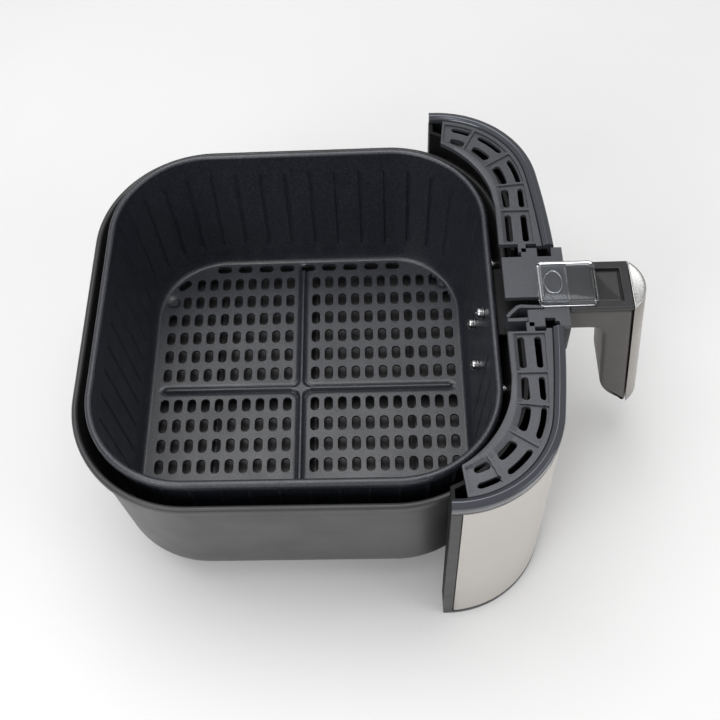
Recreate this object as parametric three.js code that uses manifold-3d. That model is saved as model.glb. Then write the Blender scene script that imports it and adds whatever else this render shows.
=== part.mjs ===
// Removable drawer of a square air fryer, in millimetres, +Z up.
// The origin is the centre of the pan's flat underside. The handle and the fascia face -Y.
// A perforated basket stands in a plain pan. The pan is screwed to a curved fascia, and the
// basket carries the handle, so pressing the button frees the basket to be lifted out.
import * as THREE from 'three';
import { mergeVertices } from 'three/addons/utils/BufferGeometryUtils.js';
import Module from 'manifold-3d';

const wasm = await Module();
wasm.setup();

// ---- driving dimensions ----
// The pan drives the rest: the basket hangs inside it, the front stands a set distance from it,
// and the handle's lock is set out from the front and from the height of the pan's rim.
const GAP = 0.3;             // air left between pieces that touch on the real object
const RUN = 0.6;             // air around pieces that slide past each other
const FAR = 200;             // beyond every face of the drawer, for cutting blocks

const PAN_HALF = 125.5;      // half width of the pan's outer wall just under its rim
const PAN_FLARE = 7;         // how much wider each wall stands at the rim than at the foot
const PAN_HEIGHT = 105;
const PAN_CORNER = 69;       // corner radius at the rim
const PAN_WALL = 1.2;
const PAN_RIM = 2.5;         // how far the rolled rim stands out
const PAN_RIM_HEIGHT = 5;
const PAN_BASE_HALF = PAN_HALF - PAN_FLARE;
const PAN_FLAT_HALF = PAN_BASE_HALF - 8.5;
const FILLET = 12;           // height of the rounded foot of the pan and the basket

const BASKET_RISE = 10;      // underside of the basket floor above the pan's underside
const BASKET_PROUD = 10;     // how far the basket's rim stands above the pan's
const SIDE_SPACE = 10.5;     // from the pan's outer wall to the basket's
const BASKET_FLARE = 6.2;
const BASKET_WALL = 1.2;
const BASKET_RIM = 3;
const BASKET_RIM_HEIGHT = 6;
const BASKET_TOP = PAN_HEIGHT + BASKET_PROUD;
const BASKET_HALF = PAN_HALF - SIDE_SPACE;
const BASKET_BASE_HALF = BASKET_HALF - BASKET_FLARE;
const BASKET_FLAT_HALF = BASKET_BASE_HALF - 6.8;
const BASKET_CORNER = PAN_CORNER - 12;
const FOOT_RADIUS = 3.5;
// Feet at these distances from the centre, along X and along Y.
const REAR_FOOT = [BASKET_FLAT_HALF - 30, BASKET_FLAT_HALF - 7];
const FRONT_FOOT = [BASKET_FLAT_HALF - 19, BASKET_FLAT_HALF - 7.5];

const SLOT_WIDTH = 5.2;
const SLOT_BRIDGE = 5.2;     // metal left between the ends of two slots in a column
const SLOT_ROW_FIRST = 11.7; // first row from the cross in the middle of the floor
const CROSS_Y = 3.4;         // the cross sits a little towards the rear
const COLUMNS_REAR = 10;
const COLUMNS_FRONT = 11;
const ROWS = 6;
const EDGE_ROW_STEP = 13;    // from the last row to the edge row, whose slots run along Y
const EDGE_SLOTS_REAR = 4;
const EDGE_SLOTS_FRONT = 5;
const EDGE_MARGIN = 0.7;     // flat metal left beside the edge row
const FRONT_MARGIN = 2.7;    // flat metal left in front of the last column
const SLOT_PITCH = (BASKET_FLAT_HALF + CROSS_Y - SLOT_WIDTH / 2 - FRONT_MARGIN) / COLUMNS_FRONT;
const LAST_ROW = BASKET_FLAT_HALF - EDGE_MARGIN - SLOT_WIDTH / 2 - EDGE_ROW_STEP;
const SLOT_ROW_PITCH = (LAST_ROW - SLOT_ROW_FIRST) / (ROWS - 1);
const SLOT_LENGTH = SLOT_ROW_PITCH - SLOT_BRIDGE;
const EDGE_PITCH = SLOT_LENGTH + 5.4;

const FASCIA_HALF = PAN_HALF + 12.5;
const FASCIA_FRONT = PAN_HALF + 29.1; // front face from the origin, in the middle
const FASCIA_END = PAN_HALF - 40.5;   // distance of the two cut ends
const FASCIA_CORNER = PAN_CORNER - 7;
const FASCIA_BULGE = 600;    // radius of the gently curved front
const FASCIA_BOTTOM = -34;
const FASCIA_WALL = 3.2;
const TRIM_HEIGHT = 8.5;
const TRIM_WIDTH = 6.4;
const PANEL_THICKNESS = 0.8;
const PANEL_BORDER = 5.5;    // frame left at each end of the steel panel
const PANEL_FOOT = 4;        // frame left under the steel panel
const VENT_TOP = BASKET_TOP + 9;
const FASCIA_TOP = VENT_TOP + 2.5;
const VENT_THICKNESS = 2.5;
const VENT_INNER_GAP = 4;    // from the basket's rim to the vent plates
const VENT_INNER_HALF = BASKET_HALF + BASKET_RIM + VENT_INNER_GAP;
const VENT_INNER_CORNER = BASKET_CORNER + BASKET_RIM + VENT_INNER_GAP;
const VENT_END = FASCIA_END + 7.5; // distance of the vent plates' rear ends from the origin
const VENT_SLOT_WIDTH = 4.6;
const VENT_ROW_FIRST = VENT_INNER_HALF + 7; // inner row of vent slots from the origin
const VENT_ROW_PITCH = 9.5;
const VENT_TURN_X = FASCIA_HALF - 66; // the two rows turn about this point at the corners
const VENT_TURN_Y = FASCIA_END + 2;
const CARRIER_WALL = 2.2;
const CARRIER_GAP = 1.2;     // from the pan's rim to the carrier
const BOSS_RADIUS = 4;

const NOTCH_HALF = 28.6;     // gap in the fascia that the handle's neck drops into
const NOTCH_FLOOR = PAN_HEIGHT - 9;
const NECK_HALF = 16.5;
const NECK_UNDER = PAN_HEIGHT - 2.5; // underside of the neck, top of the finger gap
const HANDLE_TOP = VENT_TOP;
const HANDLE_FOOT = HANDLE_TOP - 110;
const HANDLE_LEAN = 0.107;   // the grip leans outwards, per unit of height
const GRIP_INNER = FASCIA_FRONT + 23.4; // grip's inner face at the top
const GRIP_OUTER = GRIP_INNER + 16.4;   // where the steel cover starts, at the top
const COVER_BULGE = 8.6;
const CAP_THICKNESS = 2;
const COLLAR_FRONT = FASCIA_FRONT + 4;
const COLLAR_DEPTH = 7;
const DECK_THICKNESS = 2.2;
const DECK_HALF = 21.8;
const TONGUE_REACH = 27.4;
const TONGUE_REAR = FASCIA_FRONT - 20.2;
const TONGUE_LENGTH = 9.4;
const CHANNEL = [-15.5, -7.5]; // groove along the deck's left half, from side to side

const BUTTON_HALF_X = 10.8;
const BUTTON_REAR = GRIP_INNER - 3.4;
const BUTTON_FRONT = GRIP_OUTER - 5.4;
const BUTTON_SINK = 1.6;     // button top below the handle's top
const BUTTON_TRAVEL = 3.5;
const BUTTON_THICKNESS = 3;
const GUARD_HALF = 14.6;
const GUARD_LENGTH = 33;
const GUARD_REAR = BUTTON_REAR - GUARD_LENGTH;
const GUARD_HEIGHT = 4;
const GUARD_WALL = 1.4;

const PIVOT_Y = FASCIA_FRONT - 4.6; // latch pivot, distance from the origin
const PIVOT_Z = HANDLE_TOP - 11;
const PIN_RADIUS = 1.5;
const PIN_FIT = 0.05;        // running clearance of the latch on its pin
const LATCH_HALF = 3.4;
const LEVER_LOW = PIVOT_Z;
const LEVER_TOP = PIVOT_Z + 3;
const HOOK_FRONT = PIVOT_Y - 8.8;
const HOOK_REAR = PIVOT_Y - 13.5;
const HOOK_SWING = 4.5;      // room behind the hook for its release swing
const KEEPER_THICKNESS = 1.5;
const KEEPER_HALF = 22;
const KEEPER_TOP = PAN_HEIGHT - 8.8;
const KEEPER_LOW = PAN_HEIGHT - 39;
const KEEPER_FRONT = PIVOT_Y;
const HOOK_TIP = KEEPER_TOP - 3.7; // height of the hook's lower end
const BRACKET_THICKNESS = 1.5;
const BRACKET_HALF = 22;
const BRACKET_LOW = PAN_HEIGHT - 51;

const SCREW_HEAD = 3.4;
const SCREW_HEAD_THICKNESS = 2;
const SCREW_SHANK = 1.9;
const SCREW_HOLE = SCREW_SHANK + GAP;
const WASHER_RADIUS = 3.8;
const WASHER_THICKNESS = 2.4;  // a flat washer and a spring washer together
// Places along X and heights of the fasteners.
const SCREW_PLACES = [[0, PAN_HEIGHT - 8], [-15, PAN_HEIGHT - 43], [15, PAN_HEIGHT - 43]];
const PAN_SCREW_PLACES = [[-45, PAN_HEIGHT - 21], [45, PAN_HEIGHT - 21],
  [-45, PAN_HEIGHT - 61], [45, PAN_HEIGHT - 61]];
const RIVET_PLACES = [[-14, PAN_HEIGHT - 29], [14, PAN_HEIGHT - 29]];
const NECK_SCREW_X = 9;
const NECK_SCREW_Y = PIVOT_Y - 3;
const COVER_SCREWS = [HANDLE_FOOT + 22, HANDLE_FOOT + 68];

// ---- colours and finishes ----
const finish = (color, roughness, metalness) => (
  new THREE.MeshStandardMaterial({ color, roughness, metalness }));
const NONSTICK = finish(0x2c2f35, 0.45, 0.3);
const PAN_PAINT = finish(0x3a3b3e, 0.5, 0.3);
const BLACK_PLASTIC = finish(0x1c1d1f, 0.5, 0);
const GREY_PLASTIC = finish(0x5b5d63, 0.5, 0);
const GLOSS_BLACK = finish(0x101113, 0.15, 0);
const STAINLESS = finish(0xb3aea8, 0.35, 1);
const STEEL = finish(0x9a9da1, 0.4, 1);
const CLEAR = finish(0xdfe3e8, 0.05, 0);

// ---- solids: joining and cutting ----
function solid(geometry) {
  geometry.deleteAttribute('normal');
  geometry.deleteAttribute('uv');
  const merged = mergeVertices(geometry, 1e-4);
  return new wasm.Manifold(new wasm.Mesh({
    numProp: 3,
    vertProperties: new Float32Array(merged.attributes.position.array),
    triVerts: new Uint32Array(merged.index.array),
  }));
}

function surface(body) {
  const mesh = body.getMesh();
  const geometry = new THREE.BufferGeometry();
  geometry.setAttribute('position', new THREE.BufferAttribute(mesh.vertProperties, 3));
  geometry.setIndex(new THREE.BufferAttribute(mesh.triVerts, 1));
  geometry.computeVertexNormals();
  return geometry;
}

const join = (...bodies) => bodies.reduce((whole, body) => whole.add(body));
const cut = (body, ...tools) => tools.reduce((rest, tool) => rest.subtract(tool), body);

// A box between two opposite corners.
function block(x0, x1, y0, y1, z0, z1) {
  const box = new THREE.BoxGeometry(x1 - x0, y1 - y0, z1 - z0);
  box.translate((x0 + x1) / 2, (y0 + y1) / 2, (z0 + z1) / 2);
  return solid(box);
}

// A box that is as wide to the left of the centre plane as to the right.
const middleBlock = (half, y0, y1, z0, z1) => block(-half, half, y0, y1, z0, z1);

// A cylinder from a point, along +Z, +Y or +X.
function rod(radius, length, x, y, z, axis = 'z', sides = 16) {
  const cylinder = new THREE.CylinderGeometry(radius, radius, length, sides);
  cylinder.translate(0, length / 2, 0);
  if (axis === 'z') cylinder.rotateX(Math.PI / 2);
  if (axis === 'x') cylinder.rotateZ(-Math.PI / 2);
  cylinder.translate(x, y, z);
  return solid(cylinder);
}

// ---- rounded squares ----
function roundedSquare(half, radius) {
  const arm = half - radius;
  const shape = new THREE.Shape();
  shape.absarc(arm, arm, radius, 0, Math.PI / 2);
  shape.absarc(-arm, arm, radius, Math.PI / 2, Math.PI);
  shape.absarc(-arm, -arm, radius, Math.PI, Math.PI * 1.5);
  shape.absarc(arm, -arm, radius, Math.PI * 1.5, Math.PI * 2);
  return shape;
}

// An outline as plain points, without the doubled ones where two stretches meet.
function plain(shape, curveSegments) {
  const points = shape.getPoints(curveSegments);
  const apart = (a, b) => a.distanceTo(b) > 1e-3;
  const kept = points.filter((point, i) => apart(point, points.at(i - 1)));
  return new THREE.Shape(kept);
}

function slab(shape, z0, z1, curveSegments = 8) {
  const outline = Array.isArray(shape) ? shape : plain(shape, curveSegments);
  const geometry = new THREE.ExtrudeGeometry(outline, {
    depth: z1 - z0, bevelEnabled: false, curveSegments,
  });
  geometry.translate(0, 0, z0);
  return solid(geometry);
}

// A rounded square carried up through [height, half width] levels, scaled about the middle.
function tray(half, radius, levels, curveSegments = 8) {
  const geometry = new THREE.ExtrudeGeometry(plain(roundedSquare(half, radius), curveSegments), {
    depth: levels.length - 1, steps: levels.length - 1, bevelEnabled: false,
  });
  const place = geometry.attributes.position;
  for (let i = 0; i < place.count; i += 1) {
    const [height, width] = levels[Math.round(place.getZ(i))];
    const scale = width / half;
    place.setXYZ(i, place.getX(i) * scale, place.getY(i) * scale, height);
  }
  return solid(geometry);
}

// Half width of a drafted wall at a height.
const drafted = (low, high, z0, z1) => (z) => low + (high - low) * (z - z0) / (z1 - z0);
const panWall = drafted(PAN_BASE_HALF, PAN_HALF, FILLET, PAN_HEIGHT);
const basketWall = drafted(BASKET_BASE_HALF, BASKET_HALF, BASKET_RISE + FILLET, BASKET_TOP);
const DRAFT = Math.atan(BASKET_FLARE / (BASKET_TOP - BASKET_RISE - FILLET));

// An open tray with a rounded foot and a rim that stands out.
function openTray({ bottom, top, flat, wallAt, half, radius, wall, rim, rimHeight }) {
  const base = wallAt(bottom + FILLET);
  const foot = [[0, flat], [FILLET * 0.12, flat + (base - flat) * 0.5],
    [FILLET * 0.42, flat + (base - flat) * 0.84], [FILLET, base]];
  const outside = foot.map(([z, width]) => [bottom + z, width]);
  const inside = foot.map(([z, width]) => [bottom + wall + z, width - wall]);
  const shell = cut(
    tray(half, radius, [...outside, [top, wallAt(top)]]),
    tray(half, radius, [...inside, [top + 1, wallAt(top + 1) - wall]]));
  const bead = cut(
    slab(roundedSquare(half + rim, radius + rim), top - rimHeight, top),
    tray(half, radius, [[top - rimHeight - 1, wallAt(top - rimHeight - 1) - wall],
      [top + 1, wallAt(top + 1) - wall]]));
  return join(shell, bead);
}

// ---- the pan ----
function pan() {
  return openTray({
    bottom: 0, top: PAN_HEIGHT, flat: PAN_FLAT_HALF, wallAt: panWall, half: PAN_HALF,
    radius: PAN_CORNER, wall: PAN_WALL, rim: PAN_RIM, rimHeight: PAN_RIM_HEIGHT,
  });
}

// ---- the basket ----
const signs = [-1, 1];

// Centres of the floor's slots: straight columns each side of the cross, and an edge row
// along the right-hand wall and its mirror image.
function slotCentres() {
  const centres = [];
  for (const side of signs) {
    for (let row = 0; row < ROWS; row += 1) {
      const x = side * (SLOT_ROW_FIRST + row * SLOT_ROW_PITCH);
      const trimmedRear = Math.max(0, row - (ROWS - 3));
      const trimmedFront = row === ROWS - 1 ? 1 : 0;
      for (let column = 1; column <= COLUMNS_REAR - trimmedRear; column += 1) {
        centres.push([x, CROSS_Y + column * SLOT_PITCH, 0]);
      }
      for (let column = 1; column <= COLUMNS_FRONT - trimmedFront; column += 1) {
        centres.push([x, CROSS_Y - column * SLOT_PITCH, 0]);
      }
    }
    centres.push([side * LAST_ROW, CROSS_Y + (COLUMNS_REAR - 0.7) * SLOT_PITCH, -side * Math.PI / 4]);
    for (let k = -EDGE_SLOTS_FRONT; k < EDGE_SLOTS_REAR; k += 1) {
      const along = CROSS_Y + (k + 0.8) * EDGE_PITCH;
      centres.push([side * (LAST_ROW + EDGE_ROW_STEP), along, Math.PI / 2]);
    }
  }
  return centres;
}

// A rectangle with its middle at (x, y), its length turned by an angle from the X axis.
function turnedRectangle(x, y, length, width, angle) {
  const along = new THREE.Vector2(Math.cos(angle), Math.sin(angle)).multiplyScalar(length / 2);
  const across = new THREE.Vector2(-Math.sin(angle), Math.cos(angle)).multiplyScalar(width / 2);
  return new THREE.Shape([[-1, -1], [1, -1], [1, 1], [-1, 1]].map(([a, b]) => (
    new THREE.Vector2(x, y).addScaledVector(along, a).addScaledVector(across, b))));
}

function slots() {
  const shapes = slotCentres().map(([x, y, angle]) => (
    turnedRectangle(x, y, SLOT_LENGTH, SLOT_WIDTH, angle)));
  return slab(shapes, BASKET_RISE - 1, BASKET_RISE + BASKET_WALL + 1);
}

// Screws and washers are modelled upright and then turned square to the drafted front wall.
function onFrontWall(body, x, z) {
  const geometry = surface(body);
  geometry.rotateX(DRAFT);
  geometry.translate(x, -basketWall(z), z);
  return geometry;
}

function basket() {
  const tub = openTray({
    bottom: BASKET_RISE, top: BASKET_TOP, flat: BASKET_FLAT_HALF, wallAt: basketWall,
    half: BASKET_HALF, radius: BASKET_CORNER, wall: BASKET_WALL, rim: BASKET_RIM,
    rimHeight: BASKET_RIM_HEIGHT,
  });
  const footLow = PAN_WALL + GAP;
  const footLength = BASKET_RISE + BASKET_WALL - GAP / 3 - footLow;
  const feet = signs.flatMap((side) => [
    rod(FOOT_RADIUS, footLength, side * REAR_FOOT[0], REAR_FOOT[1], footLow, 'z', 10),
    rod(FOOT_RADIUS, footLength, side * FRONT_FOOT[0], -FRONT_FOOT[1], footLow, 'z', 10)]);
  const holes = SCREW_PLACES.map(([x, z]) => solid(
    onFrontWall(rod(SCREW_HOLE, 8, 0, -4, 0, 'y', 12), x, z)));
  return cut(join(tub, ...feet), slots(), ...holes);
}

function basketWasher() {
  const ring = cut(
    rod(WASHER_RADIUS, WASHER_THICKNESS, 0, BASKET_WALL + GAP, 0, 'y'),
    rod(SCREW_HOLE, 8, 0, -4, 0, 'y', 12));
  return ring;
}

function basketScrew() {
  const seat = BASKET_WALL + WASHER_THICKNESS + 2 * GAP;
  const tail = BRACKET_THICKNESS + GAP + 1.4;
  return join(
    rod(SCREW_HEAD, SCREW_HEAD_THICKNESS, 0, seat, 0, 'y'),
    rod(SCREW_SHANK, seat + tail + 0.5, 0, -tail, 0, 'y', 12));
}

// An outline in the YZ plane carried across X, as far to the left as to the right.
function acrossX(shape, half) {
  const geometry = new THREE.ExtrudeGeometry(plain(shape, 6), {
    depth: 2 * half, bevelEnabled: false,
  });
  geometry.translate(0, 0, -half);
  geometry.applyMatrix4(new THREE.Matrix4().makeBasis(
    new THREE.Vector3(0, 1, 0), new THREE.Vector3(0, 0, 1), new THREE.Vector3(1, 0, 0)));
  return solid(geometry);
}

const outline = (...points) => new THREE.Shape(points.map(([y, z]) => new THREE.Vector2(y, z)));

// Steel bracket: a plate on the basket's front wall, bent forwards over the pan's rim.
const ARM_LOW = PAN_HEIGHT + RUN;
const ARM_TOP = ARM_LOW + BRACKET_THICKNESS;
const ARM_FRONT = PIVOT_Y + 2;
const ARM_HALF = 14;

function handleBracket() {
  const behind = (z, depth) => -(basketWall(z) + GAP + depth);
  const bend = acrossX(outline(
    [behind(BRACKET_LOW, 0), BRACKET_LOW], [behind(ARM_TOP, 0), ARM_TOP],
    [-ARM_FRONT, ARM_TOP], [-ARM_FRONT, ARM_LOW],
    [behind(ARM_LOW, BRACKET_THICKNESS), ARM_LOW],
    [behind(BRACKET_LOW, BRACKET_THICKNESS), BRACKET_LOW]), BRACKET_HALF);
  const holes = SCREW_PLACES.map(([x, z]) => solid(
    onFrontWall(rod(SCREW_HOLE, 8, 0, -6, 0, 'y', 12), x, z)));
  const beside = cut(
    middleBlock(FAR, -ARM_FRONT - 1, -PAN_HALF - PAN_RIM, ARM_LOW - 1, ARM_TOP + 1),
    middleBlock(ARM_HALF, -FAR, 0, 0, FAR));
  const window = middleBlock(LATCH_HALF + RUN, -HOOK_FRONT - 2 * RUN,
    -HOOK_REAR + HOOK_SWING, ARM_LOW - 1, ARM_TOP + 1);
  const neckHoles = signs.map((side) => rod(
    SCREW_HOLE, 6, side * NECK_SCREW_X, -NECK_SCREW_Y, ARM_LOW - 2, 'z', 12));
  return cut(bend, ...holes, beside, window, ...neckHoles);
}

// ---- outline of the fascia ----
// Two straight sides, a rounded corner each side and a gently bulging front, moved inwards
// by an inset.
function fasciaOutline(inset) {
  const arm = FASCIA_HALF - FASCIA_CORNER;
  const bulgeCentre = FASCIA_BULGE - FASCIA_FRONT;
  const reach = FASCIA_BULGE - FASCIA_CORNER;
  const cornerY = bulgeCentre - Math.sqrt(reach * reach - arm * arm);
  const turn = Math.atan2(cornerY - bulgeCentre, arm);
  const shape = new THREE.Shape();
  shape.moveTo(-FASCIA_HALF + inset, 0);
  shape.lineTo(-FASCIA_HALF + inset, cornerY);
  shape.absarc(-arm, cornerY, FASCIA_CORNER - inset, Math.PI, Math.PI - turn);
  shape.absarc(0, bulgeCentre, FASCIA_BULGE - inset, Math.PI - turn, Math.PI * 2 + turn);
  shape.absarc(arm, cornerY, FASCIA_CORNER - inset, Math.PI * 2 + turn, Math.PI * 2);
  shape.lineTo(FASCIA_HALF - inset, 0);
  return shape;
}

// A plate of the fascia's outline, cut off square at a distance in front of the origin.
function fasciaPlate(inset, z0, z1, end) {
  return cut(slab(fasciaOutline(inset), z0, z1, 9), middleBlock(FAR, -end, 10, z0 - 1, z1 + 1));
}

// A C-shaped wall between two insets.
function fasciaRing(outer, inner, z0, z1, end) {
  return cut(fasciaPlate(outer, z0, z1, end), slab(fasciaOutline(inner), z0 - 1, z1 + 1, 9));
}

// The gap that the neck drops into, cut through whatever crosses it.
const notch = (half, floor) => middleBlock(half, -FAR, -BASKET_HALF + 15, floor, FASCIA_TOP + 5);
const SHELL_TOP = FASCIA_TOP - TRIM_HEIGHT - GAP;

function fasciaShell() {
  const recess = fasciaRing(-1, PANEL_THICKNESS + GAP, FASCIA_BOTTOM + PANEL_FOOT,
    SHELL_TOP + 1, FASCIA_END + PANEL_BORDER);
  return cut(
    fasciaRing(0, FASCIA_WALL, FASCIA_BOTTOM, SHELL_TOP, FASCIA_END),
    recess, notch(NOTCH_HALF, NOTCH_FLOOR));
}

function frontPanel() {
  const sheet = fasciaRing(0, PANEL_THICKNESS, FASCIA_BOTTOM + PANEL_FOOT + GAP,
    SHELL_TOP, FASCIA_END + PANEL_BORDER + GAP);
  return cut(sheet, notch(NOTCH_HALF + GAP, NOTCH_FLOOR - GAP));
}

function trimStrip(side) {
  const strip = fasciaRing(0, TRIM_WIDTH, SHELL_TOP + GAP, FASCIA_TOP, FASCIA_END);
  const inner = fasciaRing(FASCIA_WALL, TRIM_WIDTH + 1, SHELL_TOP, VENT_TOP - VENT_THICKNESS,
    FASCIA_END - 5);
  return cut(oneSide(strip, side), inner, notch(NOTCH_HALF, NOTCH_FLOOR));
}

const oneSide = (body, side) => body.intersect(
  side > 0 ? block(0, FAR, -FAR, FAR, -FAR, FAR) : block(-FAR, 0, -FAR, FAR, -FAR, FAR));

// Vent slots: two rows that follow the front, then turn round the corner. Each entry is a
// place along the row, then the lengths of the inner and the outer slot there.
const STRAIGHT_VENTS = [[NOTCH_HALF + 15, 20, 20], [NOTCH_HALF + 38, 14, 14]];
const TURNED_VENTS = [[18, 15.5, 19], [47.5, 13, 18], [70, 9, 12.5]];

function ventSlotShapes(side) {
  const shapes = [];
  for (const [x, ...lengths] of STRAIGHT_VENTS) {
    lengths.forEach((length, row) => shapes.push(turnedRectangle(
      side * x, -VENT_ROW_FIRST - row * VENT_ROW_PITCH, length, VENT_SLOT_WIDTH, 0)));
  }
  for (const [degrees, ...lengths] of TURNED_VENTS) {
    const angle = THREE.MathUtils.degToRad(degrees);
    lengths.forEach((length, row) => {
      const radius = VENT_ROW_FIRST - VENT_TURN_Y + row * VENT_ROW_PITCH + degrees / 30;
      shapes.push(turnedRectangle(
        side * (VENT_TURN_X + radius * Math.sin(angle)), -VENT_TURN_Y - radius * Math.cos(angle),
        length, VENT_SLOT_WIDTH, side * angle));
    });
  }
  return shapes;
}

const VENT_NOTCH = NOTCH_HALF + 2;
const TAB_REACH = DECK_HALF + RUN + 2;

function ventPlate(side) {
  const low = VENT_TOP - VENT_THICKNESS;
  const plate = fasciaPlate(TRIM_WIDTH + GAP, low, VENT_TOP, VENT_END);
  const well = slab(roundedSquare(VENT_INNER_HALF, VENT_INNER_CORNER), low - 1, VENT_TOP + 1, 10);
  const middle = middleBlock(VENT_NOTCH, -FAR, 0, low - 1, VENT_TOP + 1);
  const tab = block(Math.min(side * TAB_REACH, side * (VENT_NOTCH + 1)),
    Math.max(side * TAB_REACH, side * (VENT_NOTCH + 1)),
    -TONGUE_REAR + RUN, -TONGUE_REAR + RUN + 4, low, VENT_TOP);
  const body = cut(oneSide(plate, side), well, middle);
  return cut(join(body, tab), slab(ventSlotShapes(side), low - 1, VENT_TOP + 1));
}

// The carrier: a wall round the front of the pan, a floor, and two ends that close the fascia.
const CARRIER_HALF = PAN_HALF + PAN_RIM + CARRIER_GAP;
const CARRIER_CORNER = PAN_CORNER + PAN_RIM + CARRIER_GAP;
const CARRIER_TOP = VENT_TOP - VENT_THICKNESS - GAP;
const CARRIER_LOW = FASCIA_BOTTOM + GAP;

// A screw hole through the pan's front wall and whatever stands in front of it.
const frontHole = ([x, z]) => rod(SCREW_HOLE, 30, x, -PAN_HALF - 14.5, z, 'y', 12);

function fasciaCarrier() {
  const inner = (z0, z1) => slab(roundedSquare(CARRIER_HALF, CARRIER_CORNER), z0, z1);
  const outer = (z0, z1) => slab(
    roundedSquare(CARRIER_HALF + CARRIER_WALL, CARRIER_CORNER + CARRIER_WALL), z0, z1);
  const behind = middleBlock(FAR, -FASCIA_END, FAR, CARRIER_LOW - 1, CARRIER_TOP + 1);
  const wall = cut(outer(CARRIER_LOW, CARRIER_TOP), inner(CARRIER_LOW - 1, CARRIER_TOP + 1), behind);
  const inset = FASCIA_WALL + GAP;
  const rim = fasciaPlate(inset, CARRIER_LOW, CARRIER_LOW + CARRIER_WALL, FASCIA_END);
  const floor = cut(rim, inner(CARRIER_LOW - 1, CARRIER_LOW + CARRIER_WALL + 1));
  const ends = cut(
    fasciaPlate(inset, CARRIER_LOW, CARRIER_TOP, FASCIA_END),
    fasciaPlate(inset - 5, CARRIER_LOW - 1, CARRIER_TOP + 1, FASCIA_END + CARRIER_WALL),
    inner(CARRIER_LOW - 1, CARRIER_TOP + 1));
  const bosses = PAN_SCREW_PLACES.map(([x, z]) => rod(
    BOSS_RADIUS, CARRIER_HALF + 1 - panWall(z + BOSS_RADIUS) - GAP, x, -CARRIER_HALF - 1, z, 'y', 12));
  const body = join(wall, floor, ends, ...bosses);
  return cut(body, ...PAN_SCREW_PLACES.map(frontHole), notch(NOTCH_HALF, KEEPER_TOP - 4));
}

function drilledPan() {
  return cut(pan(), ...PAN_SCREW_PLACES.map(frontHole), ...RIVET_PLACES.map(frontHole));
}

function panScrew(x, z) {
  const face = -(panWall(z) - PAN_WALL) + 2 * GAP;
  return join(
    rod(SCREW_HEAD, SCREW_HEAD_THICKNESS, x, face, z, 'y'),
    rod(SCREW_SHANK, CARRIER_HALF + CARRIER_WALL + 2 + face + 0.5, x,
      -CARRIER_HALF - CARRIER_WALL - 2, z, 'y', 12));
}

// Keeper: a steel angle on the pan's front wall, with a window that the hook reaches into.
function keeper() {
  const behind = (z, depth) => -(panWall(z) + GAP + depth);
  const low = KEEPER_TOP - KEEPER_THICKNESS;
  const angle = acrossX(outline(
    [behind(KEEPER_LOW, 0), KEEPER_LOW], [behind(KEEPER_TOP, 0), KEEPER_TOP],
    [-KEEPER_FRONT, KEEPER_TOP], [-KEEPER_FRONT, low],
    [behind(low, KEEPER_THICKNESS), low],
    [behind(KEEPER_LOW, KEEPER_THICKNESS), KEEPER_LOW]), KEEPER_HALF);
  const window = middleBlock(LATCH_HALF + RUN, -HOOK_FRONT - GAP, -HOOK_REAR + HOOK_SWING,
    low - 1, KEEPER_TOP + 1);
  return cut(angle, window, ...RIVET_PLACES.map(frontHole));
}

function keeperRivet(x, z) {
  const headHeight = 1.2;
  const inside = -(panWall(z) - PAN_WALL) + 2 * GAP;
  const outside = -(panWall(z) + KEEPER_THICKNESS + 3 * GAP);
  return join(
    rod(SCREW_HEAD, headHeight, x, inside, z, 'y'),
    rod(SCREW_SHANK, inside - outside + 1, x, outside - 0.5, z, 'y', 12),
    rod(SCREW_HEAD - 0.4, headHeight, x, outside - headHeight, z, 'y'));
}

// ---- the handle ----
const lean = (z) => HANDLE_LEAN * (HANDLE_TOP - z);
const DECK_LOW = HANDLE_TOP - DECK_THICKNESS;
const WELL_FLOOR = NECK_UNDER + 2;
const NECK_REAR = BASKET_HALF + BASKET_RIM + VENT_INNER_GAP + RUN;
const ROOT_LOW = ARM_TOP + GAP;
const SCREW_SINK = 6;        // cover screws' seats inside the grip's outer face
const PIN_LENGTH = 2 * NECK_HALF - 8;
const COLLAR_REAR = COLLAR_FRONT - COLLAR_DEPTH;

// Side view of the neck and the leaning grip.
function gripProfile() {
  const shape = new THREE.Shape();
  const inner = (z) => -GRIP_INNER - lean(z);
  const outer = (z) => -GRIP_OUTER - lean(z);
  shape.moveTo(-COLLAR_FRONT + 1, HANDLE_TOP);
  shape.lineTo(-COLLAR_FRONT + 1, NECK_UNDER - 5);
  shape.quadraticCurveTo(-COLLAR_FRONT - 1, NECK_UNDER, -COLLAR_FRONT - 7, NECK_UNDER);
  shape.lineTo(inner(NECK_UNDER) + 6, NECK_UNDER);
  shape.quadraticCurveTo(inner(NECK_UNDER), NECK_UNDER, inner(NECK_UNDER - 7), NECK_UNDER - 7);
  shape.lineTo(inner(HANDLE_FOOT + 16), HANDLE_FOOT + 16);
  shape.quadraticCurveTo(inner(HANDLE_FOOT + 2), HANDLE_FOOT + 2, outer(HANDLE_FOOT), HANDLE_FOOT);
  shape.lineTo(outer(HANDLE_TOP), HANDLE_TOP);
  return shape;
}

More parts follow.
